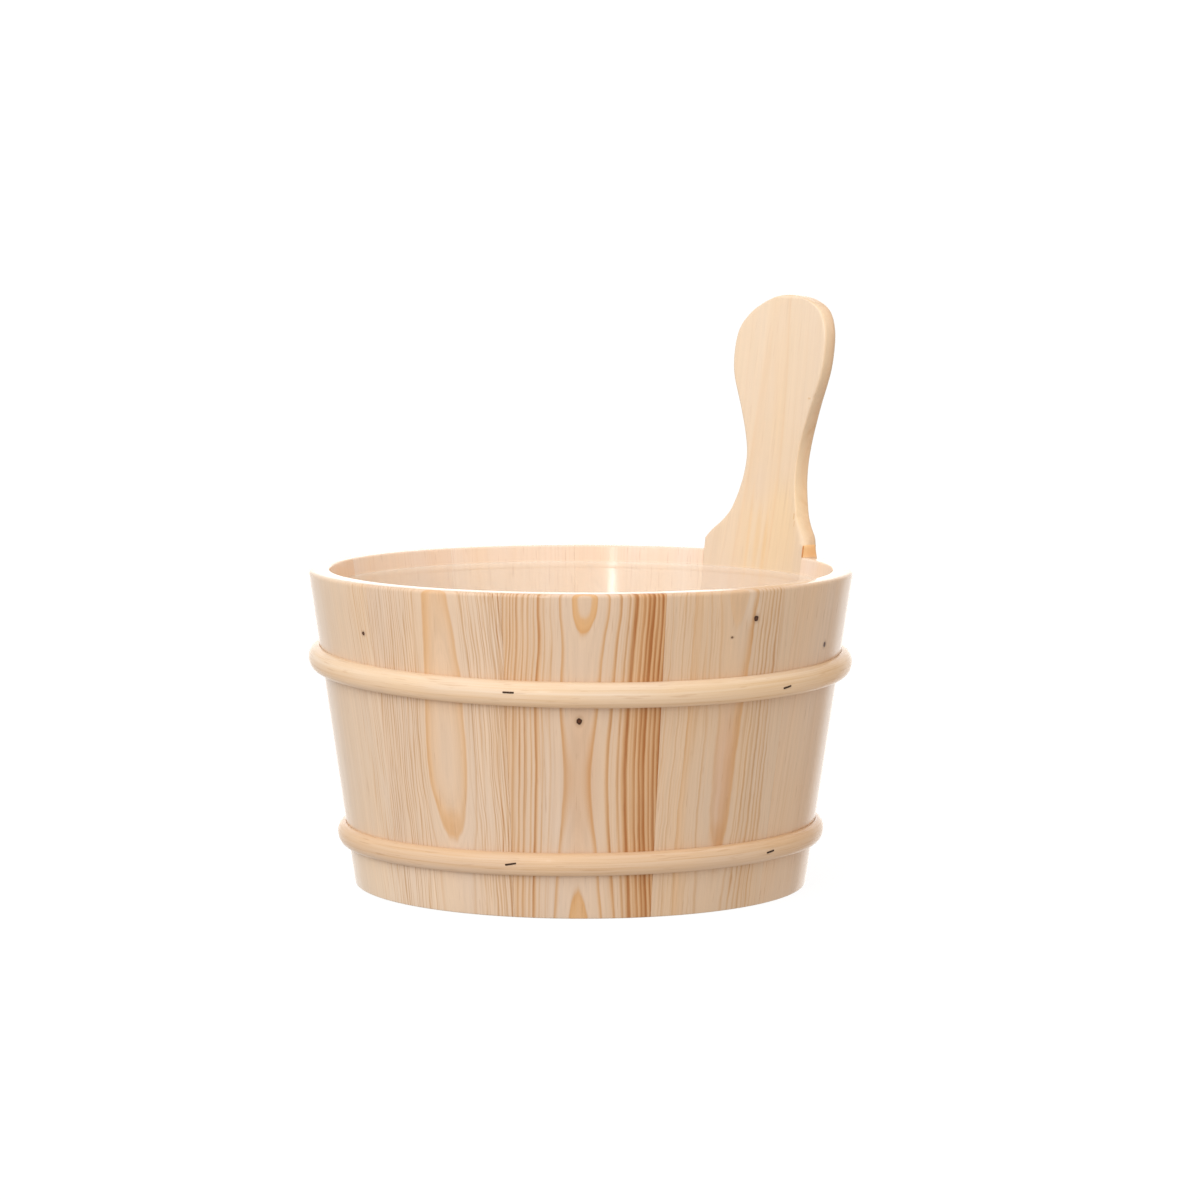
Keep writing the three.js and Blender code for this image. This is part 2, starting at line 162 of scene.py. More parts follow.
# --------------------------------------------------------------------------
# Node helpers
# --------------------------------------------------------------------------
class Nodes:
    def __init__(self, name):
        self.mat = bpy.data.materials.new(name)
        self.mat.use_nodes = True
        self.tree = self.mat.node_tree
        self.tree.nodes.clear()
        self.x = 0

    def new(self, kind, **props):
        n = self.tree.nodes.new(kind)
        self.x += 40
        n.location = (self.x, -(self.x * 7) % 900)
        for k, v in props.items():
            setattr(n, k, v)
        return n

    def put(self, socket, value):
        if isinstance(value, bpy.types.NodeSocket):
            self.tree.links.new(value, socket)
        else:
            socket.default_value = value

    def m(self, op, a, b=None, c=None, clamp=False):
        n = self.new("ShaderNodeMath", operation=op, use_clamp=clamp)
        for s, v in zip(n.inputs, (a, b, c)):
            if v is not None:
                self.put(s, v)
        return n.outputs[0]

    def add(self, a, b):
        return self.m("ADD", a, b)

    def sub(self, a, b):
        return self.m("SUBTRACT", a, b)

    def mul(self, a, b):
        return self.m("MULTIPLY", a, b)

    def mad(self, a, b, c):
        return self.m("MULTIPLY_ADD", a, b, c)

    def split(self, v):
        n = self.new("ShaderNodeSeparateXYZ")
        self.put(n.inputs[0], v)
        return n.outputs[0], n.outputs[1], n.outputs[2]

    def vec(self, x, y, z):
        n = self.new("ShaderNodeCombineXYZ")
        for s, v in zip(n.inputs, (x, y, z)):
            self.put(s, v)
        return n.outputs[0]

    def noise(self, v, detail=2.0, rough=0.5, scale=1.0, distortion=0.0):
        n = self.new("ShaderNodeTexNoise", noise_dimensions="3D")
        self.put(n.inputs["Vector"], v)
        n.inputs["Scale"].default_value = scale
        n.inputs["Detail"].default_value = detail
        n.inputs["Roughness"].default_value = rough
        n.inputs["Distortion"].default_value = distortion
        return n.outputs[0]

    def step(self, x, a, b, lo=0.0, hi=1.0):
        n = self.new("ShaderNodeMapRange", interpolation_type="SMOOTHSTEP", clamp=True)
        self.put(n.inputs[0], x)
        for i, v in zip((1, 2, 3, 4), (a, b, lo, hi)):
            self.put(n.inputs[i], v)
        return n.outputs[0]

    def curve(self, x, points, x0, x1, y0, y1):
        """A piecewise curve through points of (x, y)."""
        n = self.new("ShaderNodeFloatCurve")
        mp = n.mapping
        mp.extend = "HORIZONTAL"
        c = mp.curves[0]
        pts = [((px - x0) / (x1 - x0), (py - y0) / (y1 - y0)) for px, py in points]
        if pts[0][0] > 0:
            pts.insert(0, (0.0, pts[0][1]))
        if pts[-1][0] < 1:
            pts.append((1.0, pts[-1][1]))
        c.points[0].location = pts[0]
        c.points[-1].location = pts[-1]
        for p in pts[1:-1]:
            c.points.new(*p)
        mp.update()
        self.put(n.inputs["Value"], self.mad(x, 1 / (x1 - x0), -x0 / (x1 - x0)))
        if y0 == 0.0 and y1 == 1.0:
            return n.outputs[0]
        return self.mad(n.outputs[0], y1 - y0, y0)

    def ramp(self, x, stops):
        n = self.new("ShaderNodeValToRGB")
        e = n.color_ramp.elements
        e[0].position, e[0].color = stops[0][0], (*stops[0][1], 1)
        e[1].position, e[1].color = stops[-1][0], (*stops[-1][1], 1)
        for p, c in stops[1:-1]:
            k = e.new(p)
            k.color = (*c, 1)
        self.put(n.inputs[0], x)
        return n.outputs[0]

    def mix(self, f, a, b, blend="MIX"):
        n = self.new("ShaderNodeMix", data_type="RGBA", blend_type=blend, clamp_factor=True)
        self.put(n.inputs[0], f)
        for i, v in ((6, a), (7, b)):
            self.put(n.inputs[i], v if isinstance(v, bpy.types.NodeSocket) else (*v, 1.0))
        return n.outputs[2]

    def grey(self, x):
        """A factor about 1, as a colour to multiply with."""
        return self.vec(x, x, x)

    def coords(self):
        t = self.new("ShaderNodeTexCoord")
        v = self.new("ShaderNodeVectorMath", operation="SCALE")
        self.put(v.inputs[0], t.outputs["Object"])
        v.inputs["Scale"].default_value = 1000.0
        return self.split(v.outputs[0])

    def surface(self, colour, rough, height=None, bump=0.3, distance=0.00012, **values):
        p = self.new("ShaderNodeBsdfPrincipled")
        out = self.new("ShaderNodeOutputMaterial")
        self.put(p.inputs["Base Color"], colour)
        self.put(p.inputs["Roughness"], rough)
        for k, v in values.items():
            p.inputs[k.replace("_", " ")].default_value = v
        if height is not None:
            b = self.new("ShaderNodeBump")
            b.inputs["Strength"].default_value = bump
            b.inputs["Distance"].default_value = distance
            self.put(b.inputs["Height"], height)
            self.tree.links.new(b.outputs[0], p.inputs["Normal"])
        self.tree.links.new(p.outputs[0], out.inputs[0])
        return p


# --------------------------------------------------------------------------
# Wood
# --------------------------------------------------------------------------
def stave_coords(nd, a0):
    """Across the stave from its middle, depth below the outer face, height, all in mm."""
    x, y, z = nd.coords()
    az = nd.m("WRAP", nd.sub(nd.m("ARCTAN2", x, nd.mul(y, -1.0)), a0), math.pi, -math.pi)
    r = nd.m("SQRT", nd.add(nd.mul(x, x), nd.mul(y, y)))
    big = nd.mad(z, SLOPE, BASE_R)
    return nd.mul(az, big), nd.sub(big, r), z


RING_GAIN = 1.7


def rings_of(lines, base, lo, hi, n=250):
    """Late wood against distance from the heart: each line is (distance, width, strength), soft on the side of the heart and crisp on the other."""
    xs = np.linspace(lo, hi, n)
    ys = np.interp(xs, [p for p, _ in base], [v for _, v in base]) if base else np.zeros(n)
    for c, wd, s in lines:
        s = min(1.0, s * RING_GAIN)
        d = xs - c
        y = np.where(d < 0, np.exp(-(d / (0.75 * wd)) ** 2), np.exp(-(d / (0.22 * wd + 0.12)) ** 2)) * s
        ys = ys + (1 - ys) * y
    return [(float(x), float(min(1.0, y))) for x, y in zip(xs, ys)]


def wood(name, coords, s):
    """A softwood board with its rings, fibres, flecks and knots, under clear satin lacquer."""
    nd = Nodes(name)
    u, w, l = coords(nd)
    seed = s["seed"] * 17.31
    lo, hi = s.get("span", (0.0, 42.0))

    # the rings wander slowly, and a little more quickly on a small scale
    slow = nd.noise(nd.vec(nd.mad(u, 0.016, seed), nd.mul(w, 0.03), nd.mul(l, 0.011)), 2.0)
    quick = nd.noise(nd.vec(nd.mad(u, 0.11, seed + 5), nd.mul(w, 0.11), nd.mul(l, s.get("ripple", 0.045))), 2.0)
    ud = nd.mad(nd.sub(slow, 0.5), s.get("wander", 2.0), u)
    ud = nd.mad(nd.sub(quick, 0.5), s.get("wobble", 0.8), ud)
    zr = s.get("length", (0.0, 150.7))
    if isinstance(s["u0"], (int, float)):
        du = nd.sub(ud, float(s["u0"]))
    else:
        du = nd.sub(ud, nd.curve(l, s["u0"], zr[0], zr[1], -20.0, 20.0))
    g = nd.curve(l, s["g"], zr[0], zr[1], 0.0, 400.0)
    h = nd.mad(w, s.get("side", 1.0), nd.m("SQRT", nd.m("MAXIMUM", g, 0.04)))
    rho = nd.m("SQRT", nd.add(nd.mul(du, du), nd.mul(h, h)))
    jit = nd.noise(nd.vec(nd.mad(u, 0.5, seed + 9), nd.mul(w, 0.5), nd.mul(l, 0.02)), 1.0)
    rho = nd.mad(nd.sub(jit, 0.5), s.get("jitter", 0.3), rho)
    right = nd.curve(rho, rings_of(s["right"], s.get("base_right", []), lo, hi), lo, hi, 0.0, 1.0)
    left = nd.curve(rho, rings_of(s["left"], s.get("base_left", []), lo, hi), lo, hi, 0.0, 1.0)
    side = nd.step(du, -1.2, 1.2)
    ring = nd.add(nd.mul(left, nd.sub(1.0, side)), nd.mul(right, side))
    fade = nd.noise(nd.vec(nd.mad(u, 0.26, seed + 3), nd.mul(w, 0.26), nd.mul(l, 0.020)), 2.0)
    ring = nd.m("MULTIPLY", ring, nd.mad(fade, s.get("fade", 1.0), 1.0 - 0.5 * s.get("fade", 1.0)), clamp=True)

    # irregular fine grain, in parts of the board
    if "grain" in s:
        pitch, along, straight = s.get("grain_scale", (2.4, 0.014, 0.0))
        across = nd.mad(nd.sub(nd.m("ABSOLUTE", du), rho), straight, rho)
        uneven = nd.noise(nd.vec(nd.mad(across, 0.28, nd.mul(side, 40.0)), nd.mad(w, 0.3, seed), nd.mul(l, 0.35 * along)), 2.0)
        strength = nd.noise(nd.vec(nd.mad(across, 0.8, nd.mul(side, 40.0)), nd.mad(w, 0.3, seed + 4), nd.mul(l, along)), 1.0)
        fine = nd.m("FRACT", nd.mad(uneven, 3.4, nd.mul(across, 1.0 / pitch)))
        fine = nd.mul(nd.step(fine, 0.35, 0.88), nd.step(fine, 1.0, 0.90))
        fine = nd.mul(nd.mul(fine, nd.step(strength, *s.get("grain_cut", (0.34, 0.66)))), nd.curve(u, s["grain"], -42.0, 42.0, 0.0, 1.0))
        ring = nd.m("ADD", ring, fine, clamp=True)

    inside = nd.step(w, 4.0, 9.0)
    calm = s.get("calm", (0.85, 0.7, 0.6))
    ring = nd.mul(ring, nd.mad(inside, -calm[0], 1.0))

    # fine growth between the rings, and long fibres
    growth = nd.noise(nd.vec(nd.mad(rho, 1.0, seed), 0.0, nd.mul(l, 0.006)), 3.0, 0.65)
    fibre = nd.noise(nd.vec(nd.mad(u, 2.4, seed + 1), nd.mul(w, 2.4), nd.mul(l, 0.05)), 3.0, 0.62)
    streak = nd.noise(nd.vec(nd.mad(u, 0.42, seed + 2), nd.mul(w, 0.42), nd.mul(l, 0.009)), 2.0, 0.55)
    base = base_tone = s["early"]
    if "tan_left" in s:
        warm = nd.add(nd.mul(nd.curve(rho, rings_of([], s["tan_left"], lo, hi), lo, hi, 0.0, 1.0), nd.sub(1.0, side)),
                      nd.mul(nd.curve(rho, rings_of([], s["tan_right"], lo, hi), lo, hi, 0.0, 1.0), side))
        warm = nd.m("MULTIPLY", warm, nd.mad(fade, 0.5, 0.75), clamp=True)
        warm = nd.mul(warm, nd.mad(inside, -calm[1], 1.0))
        base = nd.mix(warm, base, s.get("tan", TAN))
    shade = nd.ramp(ring, [(0.0, (1.0, 1.0, 1.0)), (0.42, s.get("line_a", LINE_A)), (1.0, s.get("line_b", LINE_B))])
    colour = nd.mix(1.0, base, shade, "MULTIPLY")
    tone = nd.mad(nd.sub(growth, 0.5), s.get("growth", 0.20), 1.0)
    tone = nd.mul(tone, nd.mad(nd.sub(fibre, 0.5), s.get("fibre", 0.13), 1.0))
    tone = nd.mul(tone, nd.mad(nd.sub(streak, 0.5), s.get("streak", 0.12), 1.0))
    tone = nd.mad(nd.mul(nd.sub(tone, 1.0), inside), -calm[2], tone)
    colour = nd.mix(1.0, colour, nd.grey(tone), "MULTIPLY")

    # broad patches, pinker or yellower
    patch = nd.noise(nd.vec(nd.mad(u, 0.045, seed + 4), nd.mul(w, 0.04), nd.mul(l, 0.013)), 2.0)
    tint = nd.ramp(patch, [(0.30, s.get("tint_a", (1.02, 0.98, 0.93))), (0.70, s.get("tint_b", (0.99, 1.0, 1.04)))])
    colour = nd.mix(1.0, colour, tint, "MULTIPLY")
    # painted light inside: the inner faces share one tone, tinted lighter and paler because the inside is lit more than
    # the outer wall, and warmer on the left staves where the inner wall is in shade
    same = tuple(e / v for e, v in zip(EARLY, base_tone))
    inner = tuple(k * q for k, q in zip(same, s.get("painted_inner_light", (1.35, 1.51, 1.66))))
    # painted light: the wood behind the liner is painted lighter than the bare band above the liner's top, to even out
    # the shade the liner casts on it
    low, high = s.get("bare", ((1.0, 1.0, 1.0), (0.895, 0.865, 0.87)))
    inner = nd.mix(1.0, nd.mix(nd.step(l, 141.5, 144.0), low, high), inner, "MULTIPLY")
    colour = nd.mix(inside, colour, nd.mix(1.0, colour, inner, "MULTIPLY"))
    # painted light: the handle's inner face is painted lighter further down inside the bucket
    if "deep" in s:
        colour = nd.mix(nd.mul(inside, nd.step(l, 138.0, 95.0)), colour, nd.mix(1.0, colour, s["deep"], "MULTIPLY"))
    for uc, wid, amount, tone_c in s.get("bands", []):
        d = nd.m("ABSOLUTE", nd.sub(ud, uc))
        colour = nd.mix(nd.step(d, wid, wid * 0.15, 0.0, amount), colour, nd.mix(1.0, colour, tone_c, "MULTIPLY"))

    # zones of lighter or darker tone; the lighter feet of stave_01 and stave_02 are painted light that lifts the shade
    # at the bottom
    for uc, zc, ru, rz, amount, tone_c in s.get("zones", []):
        ex = nd.mul(nd.sub(ud, uc), 1 / ru)
        ez = nd.mul(nd.sub(l, zc), 1 / rz)
        d = nd.add(nd.m("SQRT", nd.add(nd.mul(ex, ex), nd.mul(ez, ez))), nd.mul(nd.sub(patch, 0.5), 0.8))
        colour = nd.mix(nd.step(d, 1.15, 0.35, 0.0, amount), colour, nd.mix(1.0, colour, tone_c, "MULTIPLY"))

    # short brown dashes along the grain
    dash = nd.noise(nd.vec(nd.mad(u, 1.15, seed + 6), nd.mul(w, 1.15), nd.mul(l, 0.085)), 0.0)
    dash = nd.step(dash, 0.70, 0.80, 0.0, s.get("dash", 0.22))
    colour = nd.mix(dash, colour, nd.mix(1.0, colour, (0.60, 0.44, 0.33), "MULTIPLY"))

    # pin knots with a darker core and a faint halo
    height = nd.mad(ring, 0.35, nd.mul(fibre, 0.55))
    for ku, kz, ru, rz, dark in s.get("knots", []):
        rough_u = nd.noise(nd.vec(nd.mad(u, 0.9, ku), nd.mul(l, 0.9), 0.0), 1.0)
        ex = nd.mul(nd.sub(u, ku), 1 / ru)
        ez = nd.mul(nd.sub(l, kz), 1 / rz)
        dist = nd.m("SQRT", nd.add(nd.mul(ex, ex), nd.mul(ez, ez)))
        dist = nd.mad(nd.sub(rough_u, 0.5), 0.5, dist)
        near = nd.step(w, 4.5, 3.0)
        halo = nd.mul(nd.step(dist, 2.3, 0.9, 0.0, 0.34 * dark), near)
        core = nd.mul(nd.step(dist, 1.08, 0.76, 0.0, 0.99 * dark), near)
        colour = nd.mix(halo, colour, (0.33, 0.165, 0.075))
        inner = nd.ramp(nd.step(dist, 0.15, 0.85), [(0.0, (0.110, 0.034, 0.010)), (1.0, (0.034, 0.010, 0.003))])
        colour = nd.mix(core, colour, inner)
        height = nd.mad(core, -0.5, height)

    # end grain is darker and duller
    geo = nd.new("ShaderNodeNewGeometry")
    nz = nd.m("ABSOLUTE", nd.split(nd.norm_local(geo))[s.get("end_axis", 2)])
    end = nd.step(nz, 0.80, 0.97)
    pores = nd.noise(nd.vec(nd.mul(u, 2.2), nd.mul(w, 2.2), nd.mul(l, 2.2)), 2.0)
    endc = nd.mix(1.0, colour, nd.mix(pores, (0.80, 0.73, 0.62), (0.97, 0.93, 0.88)), "MULTIPLY")
    colour = nd.mix(nd.mul(end, s.get("end", 0.6)), colour, endc)
    # painted sheen on the top of the rim: whiter towards the left and right ends, a little darker at the front and back
    if "rim" in s:
        top = nd.mul(nd.step(nz, 0.45, 0.90), nd.step(l, 140.0, 146.0))
        colour = nd.mix(top, colour, nd.mix(1.0, colour, s["rim"], "MULTIPLY"))

    # painted light and shade on the side faces of the grip, lighter along the waist and darker on the lobe and near the
    # foot, and single spots given by their extents in u, depth and height
    if "painted_side_light" in s:
        x, y, _ = nd.coords()
        nx, ny, _ = nd.split(nd.norm_local(geo))
        out = nd.m("ABSOLUTE", nd.m("DIVIDE", nd.add(nd.mul(nx, x), nd.mul(ny, y)), nd.m("SQRT", nd.add(nd.mul(x, x), nd.mul(y, y)))))
        edge = nd.mul(nd.step(out, 0.85, 0.40), nd.step(l, 151.0, 153.0))
        low, high = s["painted_side_light"]
        low = nd.mix(nd.step(l, 178.0, 160.0), low, tuple(c * k for c, k in zip(low, (0.88, 0.87, 0.86))))
        colour = nd.mix(edge, colour, nd.mix(1.0, colour, nd.mix(nd.step(l, 196.0, 216.0), low, high), "MULTIPLY"))
    for box, soft, tone_c in s.get("spots", []):
        inside_box = 1.0
        for value, (a, b) in zip((u, w, l), box):
            inside_box = nd.mul(nd.mul(nd.step(value, a - soft, a + soft), nd.step(value, b + soft, b - soft)), inside_box)
        colour = nd.mix(inside_box, colour, nd.mix(1.0, colour, tone_c, "MULTIPLY"))

    rough = nd.mad(nd.sub(fibre, 0.5), 0.16, s.get("rough", 0.47))
    rough = nd.mad(ring, -0.05, rough)
    rough = nd.m("ADD", nd.mul(end, 0.06), rough, clamp=True)
    nd.surface(colour, rough, height, bump=s.get("bump", 0.35), distance=0.00010,
               Coat_Weight=s.get("coat", 0.7), Coat_Roughness=s.get("coat_rough", 0.12), Coat_IOR=1.25, Specular_IOR_Level=0.14)
    return nd.mat


def norm_local(self, geo):
    """The face's direction in the piece's own axes, so that it stays put when a body moves."""
    t = self.new("ShaderNodeVectorTransform", vector_type="NORMAL", convert_from="WORLD", convert_to="OBJECT")
    self.put(t.inputs[0], geo.outputs["True Normal"])
    return t.outputs[0]


Nodes.norm_local = norm_local

EARLY = srgb(221, 193, 166)
TAN = srgb(219, 172, 121)
LINE_A = (0.86, 0.735, 0.585)
LINE_B = (0.57, 0.335, 0.165)


def scale(c, k):
    return tuple(min(1.0, v * q) for v, q in zip(c, k if isinstance(k, tuple) else (k, k, k)))


def natural(seed, kind, centre=0.0):
    """Ring lines for a board that is seen only from behind or inside."""
    rnd = random.Random(seed)
    out = {}
    for key in ("left", "right"):
        lines, r = [], 7.0 if kind == "cathedral" else 2.0
        step = rnd.uniform(2.4, 4.2)
        while r < 47:
            lines.append((r, rnd.uniform(0.45, 0.9), rnd.uniform(0.09, 0.30)))
            step = max(1.1, step * rnd.uniform(0.82, 1.08))
            r += step * rnd.uniform(0.75, 1.3)
        out[key] = lines
    if kind == "cathedral":
        peak = rnd.uniform(40, 110)
        out["g"] = [(0, rnd.uniform(40, 120)), (peak, rnd.uniform(180, 260)), (150, rnd.uniform(40, 130))]
        out["u0"] = [(0, centre + rnd.uniform(-3, 3)), (75, centre), (150, centre + rnd.uniform(-3, 3))]
    else:
        out["g"] = [(0, 16), (150, 30)]
        out["u0"] = centre
    out["grain"] = [(-42, rnd.uniform(0.15, 0.35)), (0, rnd.uniform(0.05, 0.2)), (42, rnd.uniform(0.15, 0.35))]
    wide = rnd.uniform(9.0, 12.0)
    for key in ("tan_left", "tan_right"):
        out[key] = [(0, 0.05), (wide - 2.0, 0.1), (wide, rnd.uniform(0.4, 0.7)), (wide + 0.3, 0.05), (28, 0.1), (42, rnd.uniform(0.1, 0.4))]
    return out


STAVES = {
    "stave_03": dict(
        seed=3, early=EARLY, wander=0.6, wobble=0.9, jitter=0.35, span=(5.0, 43.0),
        u0=[(0, -2.1), (100, -2.05), (112, -1.3), (132, -0.1), (150, 0.5)],
        g=[(0, 66.2), (14, 86.5), (33, 113), (48, 138), (65, 150), (80, 139), (97, 114), (112, 104), (124, 98), (132, 86.5), (137, 71), (142, 57.8), (150, 52)],
        right=[(9.25, 0.5, 0.10), (13.5, 0.8, 0.24), (18.3, 1.0, 0.36), (21.9, 0.9, 0.30), (25.0, 2.0, 0.52), (26.8, 0.6, 0.16),
               (28.5, 1.3, 0.40), (30.6, 1.2, 0.48), (32.6, 1.9, 0.58), (34.7, 1.1, 0.46), (36.8, 1.5, 0.52), (39.0, 1.6, 0.54), (40.8, 1.2, 0.46)],
        left=[(9.25, 0.5, 0.10), (13.5, 0.8, 0.24), (17.2, 0.5, 0.14), (19.9, 0.6, 0.18), (22.4, 1.2, 0.36), (24.3, 0.6, 0.22),
              (26.9, 0.9, 0.30), (29.1, 0.7, 0.28), (31.9, 0.9, 0.34), (33.6, 0.5, 0.22), (34.9, 0.6, 0.28), (36.4, 0.6, 0.26),
              (38.1, 0.6, 0.28), (39.6, 0.5, 0.24), (41.2, 0.5, 0.24)],
        tan_left=[(0, 0.10), (7.7, 0.10), (8.15, 0.90), (9.2, 1.0), (9.42, 0.0), (12.2, 0.0), (13.5, 0.55), (13.8, 0.0), (20.5, 0.05), (22.5, 0.5), (22.9, 0.08),
                  (30, 0.22), (43, 0.22)],
        tan_right=[(0, 0.10), (7.7, 0.10), (8.15, 0.90), (9.2, 1.0), (9.42, 0.0), (12.2, 0.0), (13.5, 0.55), (13.8, 0.0), (16.8, 0.05), (18.4, 0.5), (18.8, 0.05),
                   (22.5, 0.2), (25.2, 0.6), (27.0, 0.5), (30, 0.62), (42, 0.62)],
        grain=[(-40, 0.30), (-14, 0.22), (-10, 0.0), (6, 0.0), (12, 0.14), (38, 0.20)], grain_scale=(1.7, 0.02, 0.0),
        zones=[(-2.0, 66.0, 10.0, 44.0, 1.0, (0.935, 0.86, 0.79))],
        knots=[(-1.9, 92.5, 1.3, 1.65, 1.0)]),
    "stave_02": dict(
        seed=2, early=scale(EARLY, (1.03, 1.04, 1.045)), wander=0.5, wobble=1.5, jitter=0.4, ripple=0.055, span=(5.0, 43.0),
        u0=[(0, 4.0), (20, 4.2), (42, 4.3), (50, 4.0), (60, 3.5), (70, 3.6), (80, 3.95), (97, 4.4), (112, 5.15), (125, 5.05), (140, 4.5), (150, 4.35)],
        g=[(0, 250), (10, 244), (20, 236), (28, 226), (31, 216), (34, 204), (36, 196), (38, 185), (40, 175), (42, 167), (50, 142), (60, 106), (70, 91), (80, 91), (97, 98), (112, 109), (125, 128), (140, 147), (150, 158)],
        left=[(14.1, 0.7, 0.08), (17.9, 0.6, 0.12)],
        right=[(14.1, 0.7, 0.08), (17.9, 0.6, 0.15), (21.4, 0.5, 0.12), (25.3, 0.5, 0.15), (26.8, 0.4, 0.10), (28.6, 0.6, 0.22), (30.8, 0.6, 0.25),
               (32.2, 0.6, 0.28), (34.3, 0.6, 0.30), (36.1, 0.6, 0.28), (38.0, 0.6, 0.26), (39.8, 0.5, 0.22), (41.5, 0.5, 0.22)],
        tan_left=[(0, 0.10), (9.4, 0.10), (11.4, 0.25), (12.4, 0.40), (13.3, 0.68), (13.9, 0.76), (14.5, 0.0), (17.0, 0.0), (18.0, 0.08), (18.4, 0.0), (43, 0.05)],
        tan_right=[(0, 0.10), (9.8, 0.10), (11.6, 0.25), (12.6, 0.40), (13.4, 0.62), (13.9, 0.70), (14.5, 0.0), (17.0, 0.0), (18.0, 0.08), (18.4, 0.0), (30, 0.05), (43, 0.20)],
        grain=[(-42, 0.50), (-12, 0.50), (-7, 0.20), (-4, 0.0), (13, 0.0), (17, 0.32), (24, 0.44), (42, 0.46)], grain_scale=(1.45, 0.034, 0.85), grain_cut=(0.26, 0.56),
        # the first zone is painted light that lifts the shade at the foot, under the lower hoop
        line_a=(0.845, 0.745, 0.625), fibre=0.17, zones=[(-24.0, 6.0, 30.0, 24.0, 1.0, (1.06, 1.08, 1.09)), (4.4, 44.0, 5.6, 7.5, 1.0, (0.95, 0.875, 0.77))]),
    "stave_04": dict(
        seed=4, early=scale(EARLY, (1.0, 0.965, 0.90)), wander=0.5, wobble=2.0, jitter=0.5, ripple=0.075, span=(5.0, 43.0),
        u0=[(0, -0.8), (60, -0.75), (90, 0.0), (150, 0.2)], g=[(0, 205), (20, 184), (31, 166), (40, 151), (50, 144), (60, 143), (75, 139), (90, 133), (100, 122), (110, 110), (120, 100), (130, 93), (140, 76), (150, 54)],
        left=[(12.6, 0.5, 0.10), (16.7, 0.7, 0.14), (24.4, 0.5, 0.12), (28.9, 0.5, 0.16), (34.5, 0.5, 0.16)],
        right=[(13.2, 2.0, 0.16), (15.6, 0.5, 0.16), (17.6, 0.6, 0.20), (19.7, 0.6, 0.20), (21.8, 0.8, 0.28), (24.0, 0.6, 0.20), (26.2, 0.8, 0.28), (28.2, 0.6, 0.16)],
        tan_left=[(0, 0.36), (9.2, 0.42), (9.6, 0.04), (11.4, 0.06), (12.3, 0.12), (12.75, 0.22), (13.3, 0.0), (20.4, 0.0), (22.4, 0.26), (24.3, 0.36), (24.7, 0.0), (43, 0.05)],
        tan_right=[(0, 0.36), (9.2, 0.42), (9.6, 0.04), (11.2, 0.10), (12.5, 0.42), (13.1, 0.62), (13.45, 0.62), (13.75, 0.0), (43, 0.05)],
        grain=[(-42, 0.20), (-24, 0.20), (-10, 0.16), (-7, 0.0), (7, 0.0), (10, 0.24), (26, 0.26), (31, 0.08), (42, 0.06)], grain_scale=(2.2, 0.03, 0.6),
        zones=[(-0.5, 62.0, 7.0, 40.0, 1.0, (0.965, 0.905, 0.90)), (-1.5, 37.0, 5.5, 9.0, 1.0, (0.97, 0.91, 0.84)), (8.5, 143.0, 5.0, 14.0, 1.0, (1.03, 1.09, 1.18))],
        knots=[(10.8, 137.0, 1.35, 1.45, 1.0), (-2.1, 129.0, 0.75, 0.55, 0.8)]),
    "stave_01": dict(
        seed=1, early=scale(EARLY, (1.07, 1.10, 1.11)), painted_inner_light=(1.28, 1.38, 1.48), wander=1.5, wobble=1.6, jitter=0.6, ripple=0.06,
        u0=[(0, -15.0), (100, -11.0), (150, -12.0)], g=[(0, 20), (60, 9), (150, 25)],
        left=[], right=[], tan_left=[(0, 0.0), (42, 0.0)], tan_right=[(0, 0.0), (42, 0.05)],
        grain=[(-42, 0.05), (-5, 0.07), (14, 0.14), (22, 0.36), (42, 0.44)], grain_scale=(1.6, 0.034, 0.5), grain_cut=(0.28, 0.58),
        # the zone is painted light that lifts the shade at the foot, under the lower hoop
        knots=[(28.6, 127.3, 1.1, 0.95, 1.0)], zones=[(0.0, 4.0, 60.0, 26.0, 1.0, (1.07, 1.09, 1.10))]),
    "stave_05": dict(
        seed=5, early=scale(EARLY, (1.02, 0.97, 0.90)), painted_inner_light=(1.31, 1.45, 1.57), wander=1.5, wobble=1.6, jitter=0.6, ripple=0.06,
        u0=[(0, 12.0), (150, 15.0)], g=[(0, 30), (70, 12), (150, 36)],
        left=[], right=[], tan_left=[(0, 0.05), (42, 0.05)], tan_right=[(0, 0.05), (42, 0.05)],
        grain=[(-42, 0.20), (-30, 0.14), (-20, 0.08), (20, 0.07), (42, 0.05)], grain_scale=(2.6, 0.035, 0.5),
        zones=[(4.0, 75.0, 16.0, 110.0, 1.0, (0.95, 0.90, 0.84))],
        knots=[(-3.5, 120.0, 1.4, 1.4, 1.0)], dash=0.34),
    "stave_06": dict(seed=6, early=scale(EARLY, (0.98, 0.97, 0.95)), **natural(61, "cathedral", -4.0)),
    "stave_07": dict(seed=7, early=EARLY, **natural(72, "straight", -14.0)),
    "stave_08": dict(seed=8, early=scale(EARLY, (1.0, 0.98, 0.96)), **natural(83, "cathedral", 3.0)),
    "stave_09": dict(seed=9, early=scale(EARLY, (0.99, 0.99, 0.98)), painted_inner_light=(1.33, 1.45, 1.56), **natural(94, "straight", 10.0)),
    "stave_10": dict(seed=10, early=scale(EARLY, (1.03, 1.03, 1.03)), painted_inner_light=(1.32, 1.29, 1.21), **natural(105, "cathedral", 6.0)),
}

